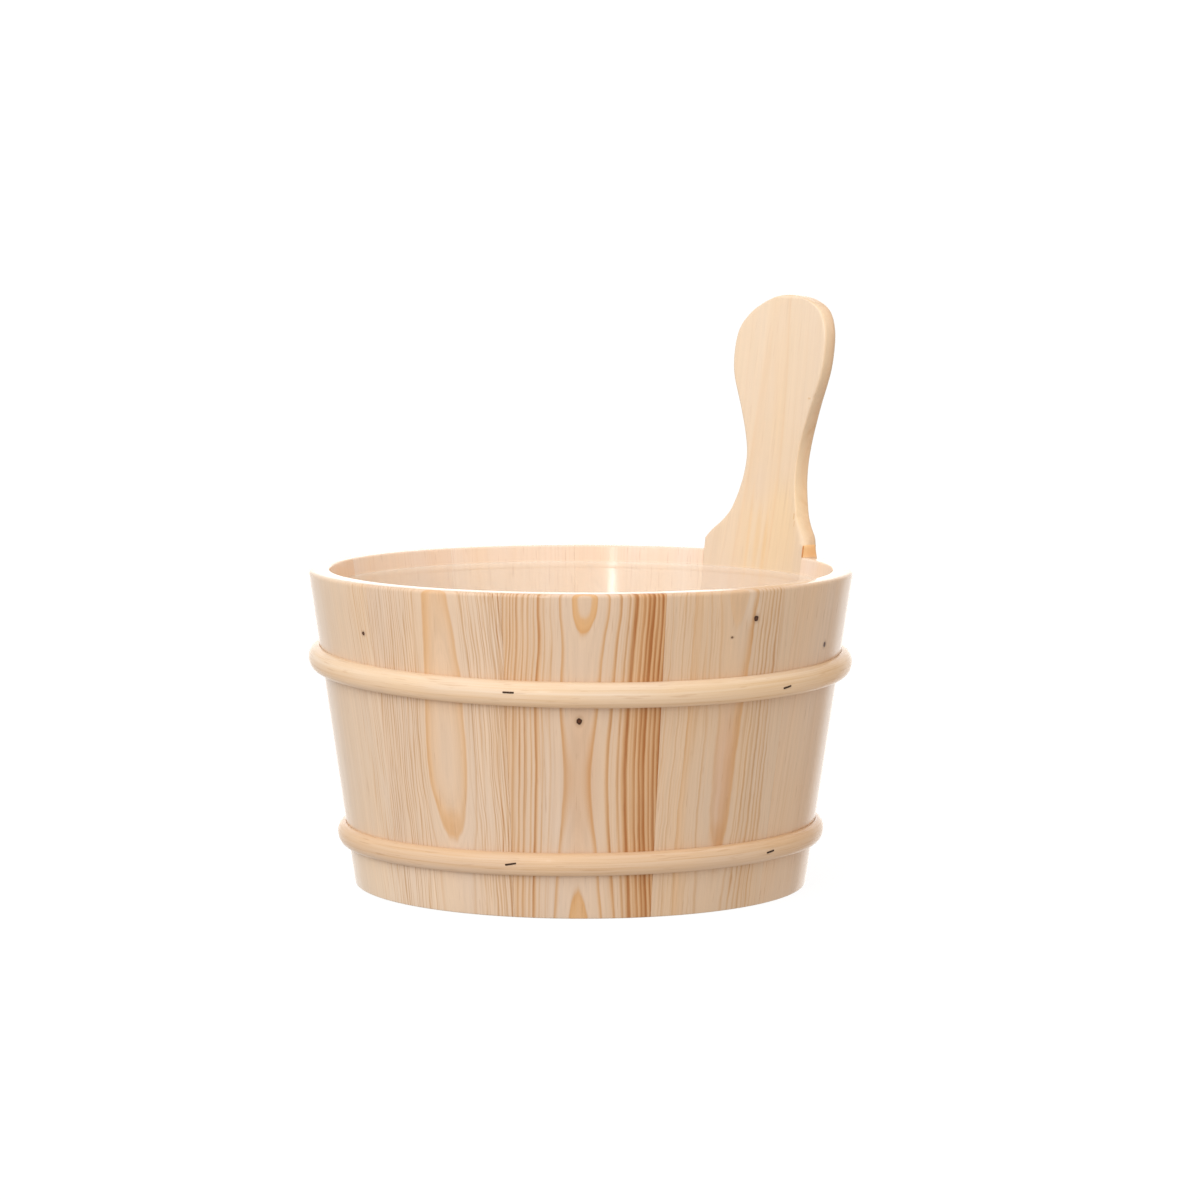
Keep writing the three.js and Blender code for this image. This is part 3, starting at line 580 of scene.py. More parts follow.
HANDLE_WOOD = dict(
    # the inner tints of the handle are painted light, as on the staves
    seed=12, early=srgb(220, 192, 164), calm=(0.6, 0.35, 0.35), painted_inner_light=(1.06, 1.16, 1.24), bare=((1.12, 1.10, 1.10), (1.0, 0.99, 0.97)), length=(0.0, 280.0), wander=3.0, wobble=0.7, jitter=0.6,
    u0=[(0, 8.0), (120, 10.0), (200, 6.0), (280, 9.0)], g=[(0, 30), (140, 16), (280, 60)],
    left=[(6.2, 0.8, 0.08), (9.4, 0.6, 0.05), (13.0, 0.9, 0.09), (17.5, 0.7, 0.05), (21.1, 0.9, 0.08), (27.6, 0.8, 0.06), (33.0, 0.8, 0.07)],
    right=[(5.0, 0.8, 0.07), (9.8, 0.8, 0.09), (12.2, 0.5, 0.05), (16.9, 0.9, 0.08), (22.5, 0.7, 0.05), (28.0, 0.9, 0.07), (35.0, 0.8, 0.06)],
    tan_left=[(0, 0.1), (6, 0.24), (7, 0.05), (13, 0.22), (14, 0.0), (21, 0.25), (22.5, 0.05), (42, 0.1)],
    tan_right=[(0, 0.1), (4, 0.20), (5, 0.0), (9.8, 0.2), (11, 0.0), (17, 0.18), (18, 0.0), (42, 0.1)],
    grain=[(-42, 0.08), (42, 0.08)], growth=0.12, streak=0.13, fibre=0.08, dash=0.07, tint_a=(1.01, 0.985, 0.93), tint_b=(1.0, 1.0, 1.02),
    zones=[(-3.0, 160.0, 34.0, 30.0, 1.0, (1.045, 1.025, 0.95)), (2.5, 158.0, 3.2, 26.0, 0.9, (1.0, 0.945, 0.83)), (-3.5, 152.0, 2.2, 24.0, 0.9, (1.0, 0.94, 0.82)),
           (9.0, 160.0, 1.6, 30.0, 0.8, (1.0, 0.95, 0.86))],
    # the side-face tints and the lighter inside lower down are painted light and shade
    painted_side_light=((1.08, 1.03, 0.94), (0.97, 0.91, 0.82)), deep=(1.24, 1.27, 1.31),
    spots=[(((-40.0, -37.4), (-1.0, 11.0), (150.9, 157.0)), 0.25, (1.24, 1.05, 0.78)), (((-40.0, -37.3), (9.4, 11.0), (150.9, 158.0)), 0.2, (0.66, 0.45, 0.30)),
           (((-25.6, -24.7), (9.2, 14.0), (168.6, 171.6)), 0.35, (0.90, 0.79, 0.64)), (((-26.6, -25.9), (9.2, 14.0), (165.2, 168.0)), 0.3, (0.90, 0.80, 0.66)),
           (((-28.4, -26.0), (8.6, 14.0), (227.6, 228.4)), 0.3, (0.90, 0.80, 0.66))])

# --------------------------------------------------------------------------
# Staves
# --------------------------------------------------------------------------
WALL_Z = [6, 14, 25, 40, 55, 70, 85, 100, 115, 130, 141]


def stave_profile():
    p = bezier((BASE_R - 0.8, 0), (BASE_R, 0), (outer_r(0.8), 0.8), 4)
    p += [(outer_r(z), z) for z in WALL_Z]
    p += bezier((outer_r(H - 2.2) - 0.02, H - 2.2), (RIM_R - 0.2, H), (RIM_R - 2.2, H), 8)
    p += bezier((inner_r(H) + 1.0, H), (inner_r(H), H), (inner_r(H - 1.0), H - 1.0), 5)
    p += [(inner_r(z), z) for z in (135, 110, 85, 60, 40, 28, GROOVE[1])]
    p += [(GROOVE[2], GROOVE[1]), (GROOVE[2], GROOVE[0]), (inner_r(GROOVE[0]), GROOVE[0])]
    p += bezier((inner_r(0.8), 0.8), (inner_r(0), 0), (inner_r(0) + 0.8, 0), 4)
    return p


PROFILE = stave_profile()
EDGE_GAP, EDGE = 0.012, 0.09
CUT = inset(PROFILE, EDGE)


def stave(name, a, b):
    mid_r = 119.0
    first = [(EDGE_GAP, CUT), (EDGE_GAP + EDGE, PROFILE), (1.0, PROFILE)]
    a, b = math.radians(a), math.radians(b)
    cols = [(a + d / mid_r, path) for d, path in first]
    n = 15
    lo, hi = a + 1.0 / mid_r, b - 1.0 / mid_r
    cols += [(lerp(lo, hi, i / n), PROFILE) for i in range(1, n)]
    cols += [(b - d / mid_r, path) for d, path in reversed(first)]
    return piece(name, *tube([[polar(az, r, z) for r, z in path] for az, path in cols]))


def rounded(half, thick, q0, radii, long=20, short=4, arc=6):
    """A section of the handle as (u, q): across, and outwards from the inner face. It runs round the same number of points whatever its size."""
    out = []
    corners = [(-half, q0, 180), (half, q0, 270), (half, q0 + thick, 0), (-half, q0 + thick, 90)]
    sides = [long, short, long, short]
    pts = []
    for (cx, cy, start), r in zip(corners, radii):
        sx, sy = (1 if cx < 0 else -1), (1 if cy == q0 else -1)
        ox, oy = cx + sx * r, cy + sy * r
        pts.append([(ox + r * math.cos(math.radians(start + 90 * i / arc)), oy + r * math.sin(math.radians(start + 90 * i / arc))) for i in range(arc + 1)])
    for k in range(4):
        out += pts[k]
        p, q = pts[k][-1], pts[(k + 1) % 4][0]
        out += [(lerp(p[0], q[0], i / sides[k]), lerp(p[1], q[1], i / sides[k])) for i in range(1, sides[k])]
    return out


# heights above the rim along the stave, and the reach of the outline to the two sides of its middle line
OUTLINE = [(9.4, 34.2, 31.6), (14.7, 28.8, 26.9), (19.7, 24.8, 23.6), (25.3, 22.3, 21.45), (31, 20.45, 19.8), (36, 19.25, 18.8),
           (41, 18.5, 18.35), (46, 18.2, 18.25), (51, 18.6, 18.7), (56, 19.75, 19.45), (61, 21.25, 20.5), (66, 22.95, 21.9),
           (71, 24.8, 23.5), (76, 26.75, 25.3), (81, 28.8, 27.25), (86, 30.7, 29.05), (91, 32, 30.45), (96, 32.6, 31.2),
           (101, 32.7, 31.35), (106, 32.4, 31.15), (110, 31.6, 30.5), (114, 29.9, 29.2), (118, 26.9, 27), (121.3, 23.4, 24.1),
           (124, 19.2, 19.9), (126.1, 15, 14.6), (127.6, 11.1, 9.2), (128.5, 7.2, 4), (128.87, 3.4, 0.2)]
HANDLE_TOP = 128.87
STEP = 5.6


def spline(points, per):
    """A curve through the points that doesn't loop or overshoot."""
    p = [np.array(q, float) for q in points]
    p = [2 * p[0] - p[1]] + p + [2 * p[-1] - p[-2]]
    out = []
    for i in range(1, len(p) - 2):
        p0, p1, p2, p3 = p[i - 1:i + 3]
        t1 = np.linalg.norm(p1 - p0) ** 0.5
        t2 = t1 + np.linalg.norm(p2 - p1) ** 0.5
        t3 = t2 + np.linalg.norm(p3 - p2) ** 0.5
        n = max(2, int(round(np.linalg.norm(p2 - p1) / per)))
        for k in range(n):
            t = t1 + (t2 - t1) * k / n
            a1 = p0 * (t1 - t) / t1 + p1 * t / t1
            a2 = p1 * (t2 - t) / (t2 - t1) + p2 * (t - t1) / (t2 - t1)
            a3 = p2 * (t3 - t) / (t3 - t2) + p3 * (t - t2) / (t3 - t2)
            b1 = a1 * (t2 - t) / t2 + a2 * t / t2
            b2 = a2 * (t3 - t) / (t3 - t1) + a3 * (t - t1) / (t3 - t1)
            out.append(b1 * (t2 - t) / (t2 - t1) + b2 * (t - t1) / (t2 - t1))
    out.append(p[-2])
    return out


def handle():
    half_angle = math.radians((149.05 - 115.8) / 2)
    stave_mid, grip_mid = math.radians((149.05 + 115.8) / 2), math.radians(131.55)

    def edge(z):
        return half_angle * inner_r(z) - EDGE_GAP

    rings = []

    def ring(z, half, thick, q0, radii, mid):
        r0 = inner_r(z)
        pts = []
        for u, q in rounded(half, thick, q0, radii):
            # the nicks on the near edge of the grip
            if z > H + 8 and u < 0:
                v = (z - H) / COS
                for nv, size, deep in ((19.0, 1.3, 0.55), (78.5, 0.9, 0.35)):
                    pull = deep * math.exp(-((v - nv) / size) ** 2 - ((u + half) / 1.6) ** 2 - (q / 2.2) ** 2)
                    u, q = u + pull, q + 0.5 * pull
            pts.append(polar(mid + u / r0, r0 + q, z))
        rings.append(pts)

    for i in range(5):
        t = i / 4
        k = 0.8 * (1 - t) ** 2
        ring(0.8 * t * t, edge(0), 10 - 2 * k, k, [EDGE] * 4, stave_mid)
    for z in (6, GROOVE[0] - 2, 14, 25, 40, 55, 70, 85, 100, 115, 130, 138):
        ring(z, edge(z), 10, 0, [EDGE] * 4, stave_mid)
    for z in np.linspace(H - 10, H + STEP, 14):
        up = smooth(z, H - 1, H + STEP)
        ring(z, edge(z), 10 - 1.9 * smooth(z, H - 10, H + 6), 0, [0.14 + 0.4 * up, 0.14 + 0.4 * up, 0.2 + 2.0 * up, 0.2 + 2.0 * up], stave_mid)
    z0 = H + STEP
    aside = (stave_mid - grip_mid) * inner_r(z0)
    pts = [(STEP, edge(z0) + aside, edge(z0) - aside)] + OUTLINE
    for v, far, near in spline(pts, 1.25)[1:]:
        z = H + v * COS
        half, shift = (far + near) / 2, (far - near) / 2
        thick = lerp(8.1, 8.7, smooth(v, STEP, 36))
        thick = lerp(thick, 7.6, smooth(v, 40, 95))
        left = min(2.1, max(0.0, 2.1 - (HANDLE_TOP - v)))
        shrink = 2.1 - math.sqrt(max(0.0, 2.1 ** 2 - left ** 2))
        thick -= 2 * shrink
        flare = smooth(v, STEP, STEP + 1.4) * (1 - smooth(v, 7.5, 20))
        lobe = smooth(v, 60, 85)
        radii = [lerp(0.54, 1.0, smooth(v, STEP, 9)) + 3.1 * flare + 0.6 * lobe, lerp(0.54, 1.8, smooth(v, STEP, 16)),
                 2.2, lerp(lerp(2.2, 1.6, smooth(v, STEP, 25)), 2.9, lobe)]
        ring(z, half, thick, shrink, [min(r, k * thick, 0.8 * half) for r, k in zip(radii, (0.42 + 0.24 * flare, 0.42, 0.42, 0.42 - 0.1 * flare))], grip_mid + shift / inner_r(z))
    return piece("vis_handle_stave", *tube(rings))


def cut_groove(ob):
    """The groove for the bottom, cut all along the foot of the handle's stave."""
    z0, z1, r = GROOVE
    path = [(80, z0), (r, z0), (r, z1), (80, z1)]
    a, b = math.radians(110), math.radians(154)
    verts, faces = tube([[polar(lerp(a, b, i / 22), rr, z) for rr, z in path] for i in range(23)])
    cutter = piece("groove_cutter", verts, faces)
    mod = ob.modifiers.new("groove", "BOOLEAN")
    mod.operation, mod.solver, mod.object = "DIFFERENCE", "EXACT", cutter
    dg = bpy.context.evaluated_depsgraph_get()
    mesh = bpy.data.meshes.new_from_object(ob.evaluated_get(dg))
    ob.modifiers.clear()
    old = ob.data
    ob.data = mesh
    mesh.name = old.name + "_cut"
    bpy.data.meshes.remove(old)
    cm = cutter.data
    bpy.data.objects.remove(cutter)
    bpy.data.meshes.remove(cm)
    mark_sharp(mesh, 30.0)


made = []


def dress(ob, node, body, material):
    ob.data.materials.clear()
    ob.data.materials.append(material)
    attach(ob, body)
    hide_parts(*(node if isinstance(node, (list, tuple)) else [node]))
    made.append(ob)


# painted sheen on each stave's rim top: whiter at the left and right ends, a little darker at the front and back
RIM_PAINTED_SHEEN = {
    "stave_01": (0.93, 1.01, 1.07), "stave_10": (0.97, 1.05, 1.12), "stave_05": (0.97, 1.02, 1.09), "stave_06": (0.97, 1.02, 1.08),
    "stave_02": (0.96, 0.96, 0.97), "stave_03": (0.95, 0.94, 0.95), "stave_04": (0.96, 0.95, 0.96),
    "stave_07": (0.94, 0.92, 0.92), "stave_08": (0.94, 0.92, 0.92), "stave_09": (0.95, 0.95, 0.96),
}
for i, name in enumerate(STAVE_NAMES):
    a, b = SEAMS[i], SEAMS[i + 1]
    centre = math.radians((a + b) / 2)
    if name == "handle_stave":
        ob = handle()
        cut_groove(ob)
        spec = HANDLE_WOOD
    else:
        ob = stave("vis_" + name, a, b)
        spec = dict(STAVES[name], rim=RIM_PAINTED_SHEEN[name])
    dress(ob, name, "bucket", wood("wood_" + name, lambda nd, c=centre: stave_coords(nd, c), spec))


# --------------------------------------------------------------------------
# Bottom boards
# --------------------------------------------------------------------------
def board(name, x0, x1):
    """A slab of the round bottom between two straight seams, with eased edges."""
    rad, gap, z0, z1 = 103.0, 0.06, 9.0, 19.0
    lo = max(-rad, x0 + gap) if x0 is not None else -rad
    hi = min(rad, x1 - gap) if x1 is not None else rad
    pts = []
    n = 48

    def arc(t0, t1):
        return [(rad * math.cos(lerp(t0, t1, i / n)), rad * math.sin(lerp(t0, t1, i / n))) for i in range(n + 1)]

    if x0 is None:
        t = math.acos(hi / rad)
        pts = arc(t, 2 * math.pi - t)
    elif x1 is None:
        t = math.acos(lo / rad)
        pts = arc(-t, t)
    else:
        ta, tb = math.acos(hi / rad), math.acos(lo / rad)
        pts = arc(ta, tb) + arc(2 * math.pi - tb, 2 * math.pi - ta)
    rings = []
    for z, d in ((z0, 0.35), (z0 + 0.12, 0.1), (z0 + 0.4, 0.0), (z1 - 0.4, 0.0), (z1 - 0.12, 0.1), (z1, 0.35)):
        rings.append([(x, y, z) for x, y in inset(pts, d)])
    return piece(name, *tube(rings))


def board_coords(nd, xc):
    x, y, z = nd.coords()
    return nd.sub(x, xc), nd.sub(19.0, z), nd.add(y, 75.0)


for name, x0, x1, seed, kind in (("bottom_board_left", None, -35.0, 21, "straight"), ("bottom_board_middle", -35.0, 36.0, 22, "cathedral"),
                                 ("bottom_board_right", 36.0, None, 23, "straight")):
    xc = {21: -66.0, 22: 0.0, 23: 68.0}[seed]
    spec = dict(seed=seed, early=scale(EARLY, (0.98, 0.97, 0.95)), end_axis=1, length=(-40.0, 190.0), **natural(seed, kind, 3.0))
    dress(board("vis_" + name, x0, x1), name, "bucket", wood("wood_" + name, lambda nd, c=xc: board_coords(nd, c), spec))


# --------------------------------------------------------------------------
# Hoops
# --------------------------------------------------------------------------
def on_wall(hoop, a, lift, rise):
    r = outer_r(hoop["z"])
    z0 = hoop["z"] + hoop["tx"] * r * math.sin(a) - hoop["ty"] * r * math.cos(a)
    radius = outer_r(z0) + lift * COS + rise * SIN
    return Vector(polar(a, radius, z0 - lift * SIN + rise * COS))


def hoop_piece(name, hoop, seed):
    rnd = random.Random(seed)
    waves = [(k, rnd.uniform(0, 6.28), rnd.uniform(0.3, 1.0)) for k in (3, 5, 8, 13)]
    size = sum(w for _, _, w in waves)
    start = math.radians(hoop["joint"]) + 0.12 / outer_r(hoop["z"])
    end = start + 2 * math.pi - 0.24 / outer_r(hoop["z"])
    r = outer_r(hoop["z"])
    fine = [0, 0.15, 0.5, 1.5, 3.5]
    angs = [(start + d / r, 1.0 - 0.10 * (d == 0)) for d in fine]
    n = 200
    lo, hi = start + 3.5 / r, end - 3.5 / r
    angs += [(lerp(lo, hi, i / n), 1.0) for i in range(1, n)]
    angs += [(end - d / r, 1.0 - 0.10 * (d == 0)) for d in reversed(fine)]
    rings = []
    arc = 22
    for a, k in angs:
        wob = sum(w * math.sin(m * a + p) for m, p, w in waves) / size
        half = hoop["half"] * (0.992 + 0.008 * wob)
        depth = hoop["depth"] * (0.985 + 0.010 * wob)
        near = 1.0 - smooth(min(a - start, end - a) * r, 0.0, 30.0)
        pts = []
        for i in range(arc + 1):
            t = math.pi * (i / arc - 0.5)
            c, s = math.cos(t), math.sin(t)
            rise = half * (abs(s) ** 0.94) * (1 if s > 0 else -1)
            lift = 0.25 + depth * (max(0.0, c) ** 0.94)
            rise, lift = rise * (0.97 + 0.03 * k) if k < 1 else rise, lift - (0.12 if k < 1 else 0.0) * (c > 0.1)
            pts.append(on_wall(hoop, a + near * hoop["slant"] * rise / r, lift, rise))
        pts += [on_wall(hoop, a + near * hoop["slant"] * rise / r, 0.06, rise) for rise in (half * 0.97, half * 0.4, -half * 0.4, -half * 0.97)]
        rings.append([tuple(p) for p in pts])
    return piece(name, *tube(rings), sharp=40.0)


def hoop_wood(name, hoop, seed, shade_warmth, tone, low, high):
    """Split cane or young wood, bent: long pale fibres along the hoop."""
    nd = Nodes(name)
    x, y, z = nd.coords()
    az = nd.m("WRAP", nd.sub(nd.m("ARCTAN2", x, nd.mul(y, -1.0)), math.radians(hoop["joint"])), 2 * math.pi, 0.0)
    r = nd.m("SQRT", nd.add(nd.mul(x, x), nd.mul(y, y)))
    l = nd.mul(az, outer_r(hoop["z"]))
    zc = nd.add(nd.mad(x, hoop["tx"], hoop["z"]), nd.mul(y, hoop["ty"]))
    up = nd.sub(z, zc)
    out = nd.sub(r, nd.mad(z, SLOPE, BASE_R))
    sd = seed * 11.7
    drift = nd.noise(nd.vec(nd.mad(l, 0.012, sd), 0.0, 0.0), 2.0)
    up2 = nd.mad(nd.sub(drift, 0.5), 2.4, up)
    lines = nd.noise(nd.vec(nd.mul(l, 0.006), nd.mad(up2, 0.75, sd), nd.mul(out, 0.75)), 3.0, 0.6)
    fibre = nd.noise(nd.vec(nd.mul(l, 0.05), nd.mad(up2, 2.8, sd), nd.mul(out, 2.8)), 3.0, 0.6)
    patch = nd.noise(nd.vec(nd.mad(l, 0.018, sd + 2), nd.mul(up, 0.05), nd.mul(out, 0.05)), 2.0)
    colour = nd.ramp(lines, [(0.22, srgb(222, 182, 138)), (0.40, srgb(233, 199, 162)), (0.60, srgb(238, 207, 174)), (0.80, srgb(241, 214, 185))])
    tint = nd.ramp(patch, [(0.3, (1.02, 0.975, 0.90)), (0.7, (0.995, 1.0, 1.03))])
    colour = nd.mix(1.0, colour, nd.mix(1.0, tint, tone, "MULTIPLY"), "MULTIPLY")
    # colour across the section from the lower to the upper half: on the upper hoop a painted whiter sheen on top and
    # painted warmer shade below
    colour = nd.mix(1.0, colour, nd.mix(nd.step(up, -0.8 * hoop["half"], 0.8 * hoop["half"]), low, high), "MULTIPLY")
    # painted shade: the hoops turn warmer and darker on the side away from the key light, the same way round on both
    # hoops and weaker on the lower one
    turn = nd.m("ARCTAN2", x, nd.mul(y, -1.0))
    warm_shade = nd.curve(turn, [(math.radians(a), v) for a, v in shade_warmth], -math.pi, math.pi, 0.0, 1.0)
    colour = nd.mix(warm_shade, colour, nd.mix(1.0, colour, (0.93, 0.80, 0.62), "MULTIPLY"))
    colour = nd.mix(1.0, colour, nd.grey(nd.mad(nd.sub(fibre, 0.5), 0.12, 1.0)), "MULTIPLY")
    thin = nd.noise(nd.vec(nd.mad(l, 0.010, sd + 7), nd.mul(up2, 1.7), nd.mul(out, 1.7)), 0.0)
    thin = nd.step(nd.m("ABSOLUTE", nd.sub(thin, 0.5)), 0.030, 0.004, 0.0, 0.40)
    colour = nd.mix(thin, colour, nd.mix(1.0, colour, (0.84, 0.72, 0.58), "MULTIPLY"))
    dash = nd.noise(nd.vec(nd.mul(l, 0.09), nd.mad(up, 1.1, sd + 4), nd.mul(out, 1.1)), 0.0)
    colour = nd.mix(nd.step(dash, 0.70, 0.80, 0.0, 0.28), colour, nd.mix(1.0, colour, (0.66, 0.50, 0.36), "MULTIPLY"))
    rough = nd.mad(nd.sub(fibre, 0.5), 0.18, 0.42)
    nd.surface(colour, rough, nd.mad(lines, 0.5, nd.mul(fibre, 0.5)), bump=0.35, distance=0.00012, Coat_Weight=0.5, Coat_Roughness=0.16, Coat_IOR=1.25, Specular_IOR_Level=0.14)
    return nd.mat


SHADE_WARMTH = [(-180, 0.3), (-110, 0.05), (15, 0.0), (40, 0.12), (58, 0.55), (75, 1.0), (120, 0.8), (180, 0.3)]
CANE = {
    # the lower hoop's darker tone is painted shade, as less light reaches low down
    "upper_hoop": dict(hoop=UPPER, seed=31, shade_warmth=SHADE_WARMTH, tone=(0.98, 1.03, 1.09), low=(1.0, 0.94, 0.88), high=(1.0, 1.02, 1.04)),
    "lower_hoop": dict(hoop=LOWER, seed=37, shade_warmth=[(a, 0.6 * v) for a, v in SHADE_WARMTH], tone=(0.885, 0.86, 0.84), low=(1.0, 1.0, 1.03), high=(1.0, 0.99, 0.97)),
}
for name, spec in CANE.items():
    dress(hoop_piece("vis_" + name, spec["hoop"], spec["seed"]), name, "bucket", hoop_wood("cane_" + name, **spec))


# --------------------------------------------------------------------------
# Staples
# --------------------------------------------------------------------------
def staple_material():
    nd = Nodes("staple_wire")
    x, y, z = nd.coords()
    p = nd.vec(x, y, z)
    spots = nd.noise(nd.vec(nd.mul(x, 1.1), nd.mul(y, 1.1), nd.mul(z, 1.1)), 3.0, 0.6)
    fine = nd.noise(p, 2.0, 0.5, 3.0)
    colour = nd.ramp(spots, [(0.30, (0.030, 0.012, 0.005)), (0.55, (0.048, 0.020, 0.008)), (0.75, (0.095, 0.046, 0.022))])
    rough = nd.mad(nd.sub(fine, 0.5), 0.25, 0.52)
    nd.surface(colour, rough, fine, bump=0.25, distance=0.00005, Metallic=0.1, Specular_IOR_Level=0.2)
    return nd.mat


def staple(name, hoop, az, rise, twist):
    """A wire staple: a flat crown across the hoop's crest, turned down at both ends."""
    a = math.radians(az)
    half, depth = hoop["half"], hoop["depth"]
    lift = 0.25 + 0.985 * depth * math.sqrt(max(0.0, 1 - (rise / half) ** 2))
    r = outer_r(hoop["z"]) + depth
    here = on_wall(hoop, a, lift, rise)
    along = (on_wall(hoop, a + 0.01, lift, rise) - on_wall(hoop, a - 0.01, lift, rise)).normalized()
    up = (on_wall(hoop, a, lift, rise + 0.5) - on_wall(hoop, a, lift, rise - 0.5)).normalized()
    out = along.cross(up).normalized()
    if out.dot(Vector((math.sin(a), -math.cos(a), 0))) < 0:
        out = -out
    tilt = math.atan2(rise / half ** 2, math.sqrt(max(0.0, 1 - (rise / half) ** 2)) / depth)
    out, up = out * math.cos(tilt) + up * math.sin(tilt), up * math.cos(tilt) - out * math.sin(tilt)
    twist = math.radians(twist)
    along, up = along * math.cos(twist) + up * math.sin(twist), up * math.cos(twist) - along * math.sin(twist)
    length, t, tall, bend, deep = 5.6, 0.5, 0.78, 0.55, 2.2
    hx = length / 2 - t / 2
    path = [(-hx, -deep), (-hx, -bend)]
    path += [(-hx + bend - bend * math.cos(q), -bend + bend * math.sin(q)) for q in np.linspace(0.3, math.pi / 2, 5)]
    path += [(0.0, 0.0)]
    path += [(hx - bend + bend * math.sin(q), -bend + bend * math.cos(q)) for q in np.linspace(0, math.pi / 2 - 0.3, 5)]
    path += [(hx, -bend), (hx, -deep)]
    sect = []
    for cx, cy, s0 in ((t / 2, tall / 2, 0), (-t / 2, tall / 2, 90), (-t / 2, -tall / 2, 180), (t / 2, -tall / 2, 270)):
        rr = 0.16
        ox, oy = cx - rr * (1 if cx > 0 else -1), cy - rr * (1 if cy > 0 else -1)
        sect += [(ox + rr * math.cos(math.radians(s0 + 30 * i)), oy + rr * math.sin(math.radians(s0 + 30 * i))) for i in range(4)]
    rings = []
    for i, p in enumerate(path):
        q0, q1 = np.array(path[max(0, i - 1)]), np.array(path[min(len(path) - 1, i + 1)])
        d = (q1 - q0) / np.linalg.norm(q1 - q0)
        nx, ny = -d[1], d[0]
        ring = []
        for sx, sy in sect:
            px, py = p[0] + nx * sx, p[1] + ny * sx
            bow = px * px / (2 * r)
            ring.append(tuple(here + along * px + out * (py - bow + 0.12) + up * sy))
        rings.append(ring)
    return piece(name, *tube(rings), sharp=50.0)


wire = staple_material()
STAPLES = [("staple_upper_%d" % (i + 1), UPPER, spot) for i, spot in enumerate(UPPER_STAPLES)]
STAPLES += [("staple_lower_%d" % (i + 1), LOWER, spot) for i, spot in enumerate(LOWER_STAPLES)]
for name, hoop, spot in STAPLES:
    dress(staple("vis_" + name, hoop, *spot), name, "bucket", wire)


# --------------------------------------------------------------------------
# Liner
# --------------------------------------------------------------------------
def liner():
    def out_r(z):
        return inner_r(z) - 0.7

    low, top, t, bead = 19.4, 143.0, 1.6, 2.4
    floor = low + t
    p = [(0.0, low), (30.0, low), (60.0, low), (82.0, low)]
    p += bezier((out_r(low) - 5.0, low), (out_r(low), low), (out_r(low + 5.0), low + 5.0), 8)
    p += [(out_r(z), z) for z in (35, 55, 75, 95, 115, 130)]
    p += bezier((out_r(top - 0.9), top - 0.9), (out_r(top), top), (out_r(top) - 0.9, top), 5)
    p += bezier((out_r(top) - bead + 0.9, top), (out_r(top) - bead, top), (out_r(top - 0.9) - bead, top - 0.9), 5)
    p += bezier((out_r(top - 2.2) - bead, top - 2.2), (out_r(top - 2.9) - bead, top - 2.9), (out_r(top - 3.4) - t, top - 3.4), 4)
    p += [(out_r(z) - t, z) for z in (130, 115, 95, 75, 55, 35)]
    p += bezier((out_r(floor + 3.4) - t, floor + 3.4), (out_r(floor) - t, floor), (out_r(floor) - t - 3.4, floor), 8)
    p += [(82.0, floor), (60.0, floor), (30.0, floor), (0.0, floor)]
    n = 192
    verts, faces = [], []
    index = []
    for r, z in p:
        if r == 0:
            index.append([len(verts)])
            verts.append((0, 0, z))
        else:
            index.append([len(verts) + k for k in range(n)])
            verts += [polar(2 * math.pi * k / n, r, z) for k in range(n)]
    for a, b in zip(index, index[1:]):
        for k in range(n):
            k2 = (k + 1) % n
            if len(a) == 1:
                faces.append((a[0], b[k], b[k2]))
            elif len(b) == 1:
                faces.append((a[k], b[0], a[k2]))
            else:
                faces.append((a[k], b[k], b[k2], a[k2]))
    return piece("vis_liner", verts, faces, sharp=50.0)


def liner_material():
    """Natural, slightly milky moulded plastic that lets the wood show through."""
    nd = Nodes("liner_plastic")
    x, y, z = nd.coords()
    cloud = nd.noise(nd.vec(nd.mul(x, 0.02), nd.mul(y, 0.02), nd.mul(z, 0.02)), 2.0)
    fine = nd.noise(nd.vec(nd.mul(x, 0.25), nd.mul(y, 0.25), nd.mul(z, 0.10)), 3.0, 0.6)
    colour = nd.ramp(cloud, [(0.3, (0.99, 0.865, 0.75)), (0.7, (0.99, 0.895, 0.79))])
    rough = nd.mad(nd.sub(fine, 0.5), 0.08, 0.13)
    nd.surface(colour, rough, fine, bump=0.05, distance=0.0002, Alpha=0.17, IOR=1.5, Specular_IOR_Level=1.0)
    return nd.mat


dress(liner(), "liner", "liner", liner_material())


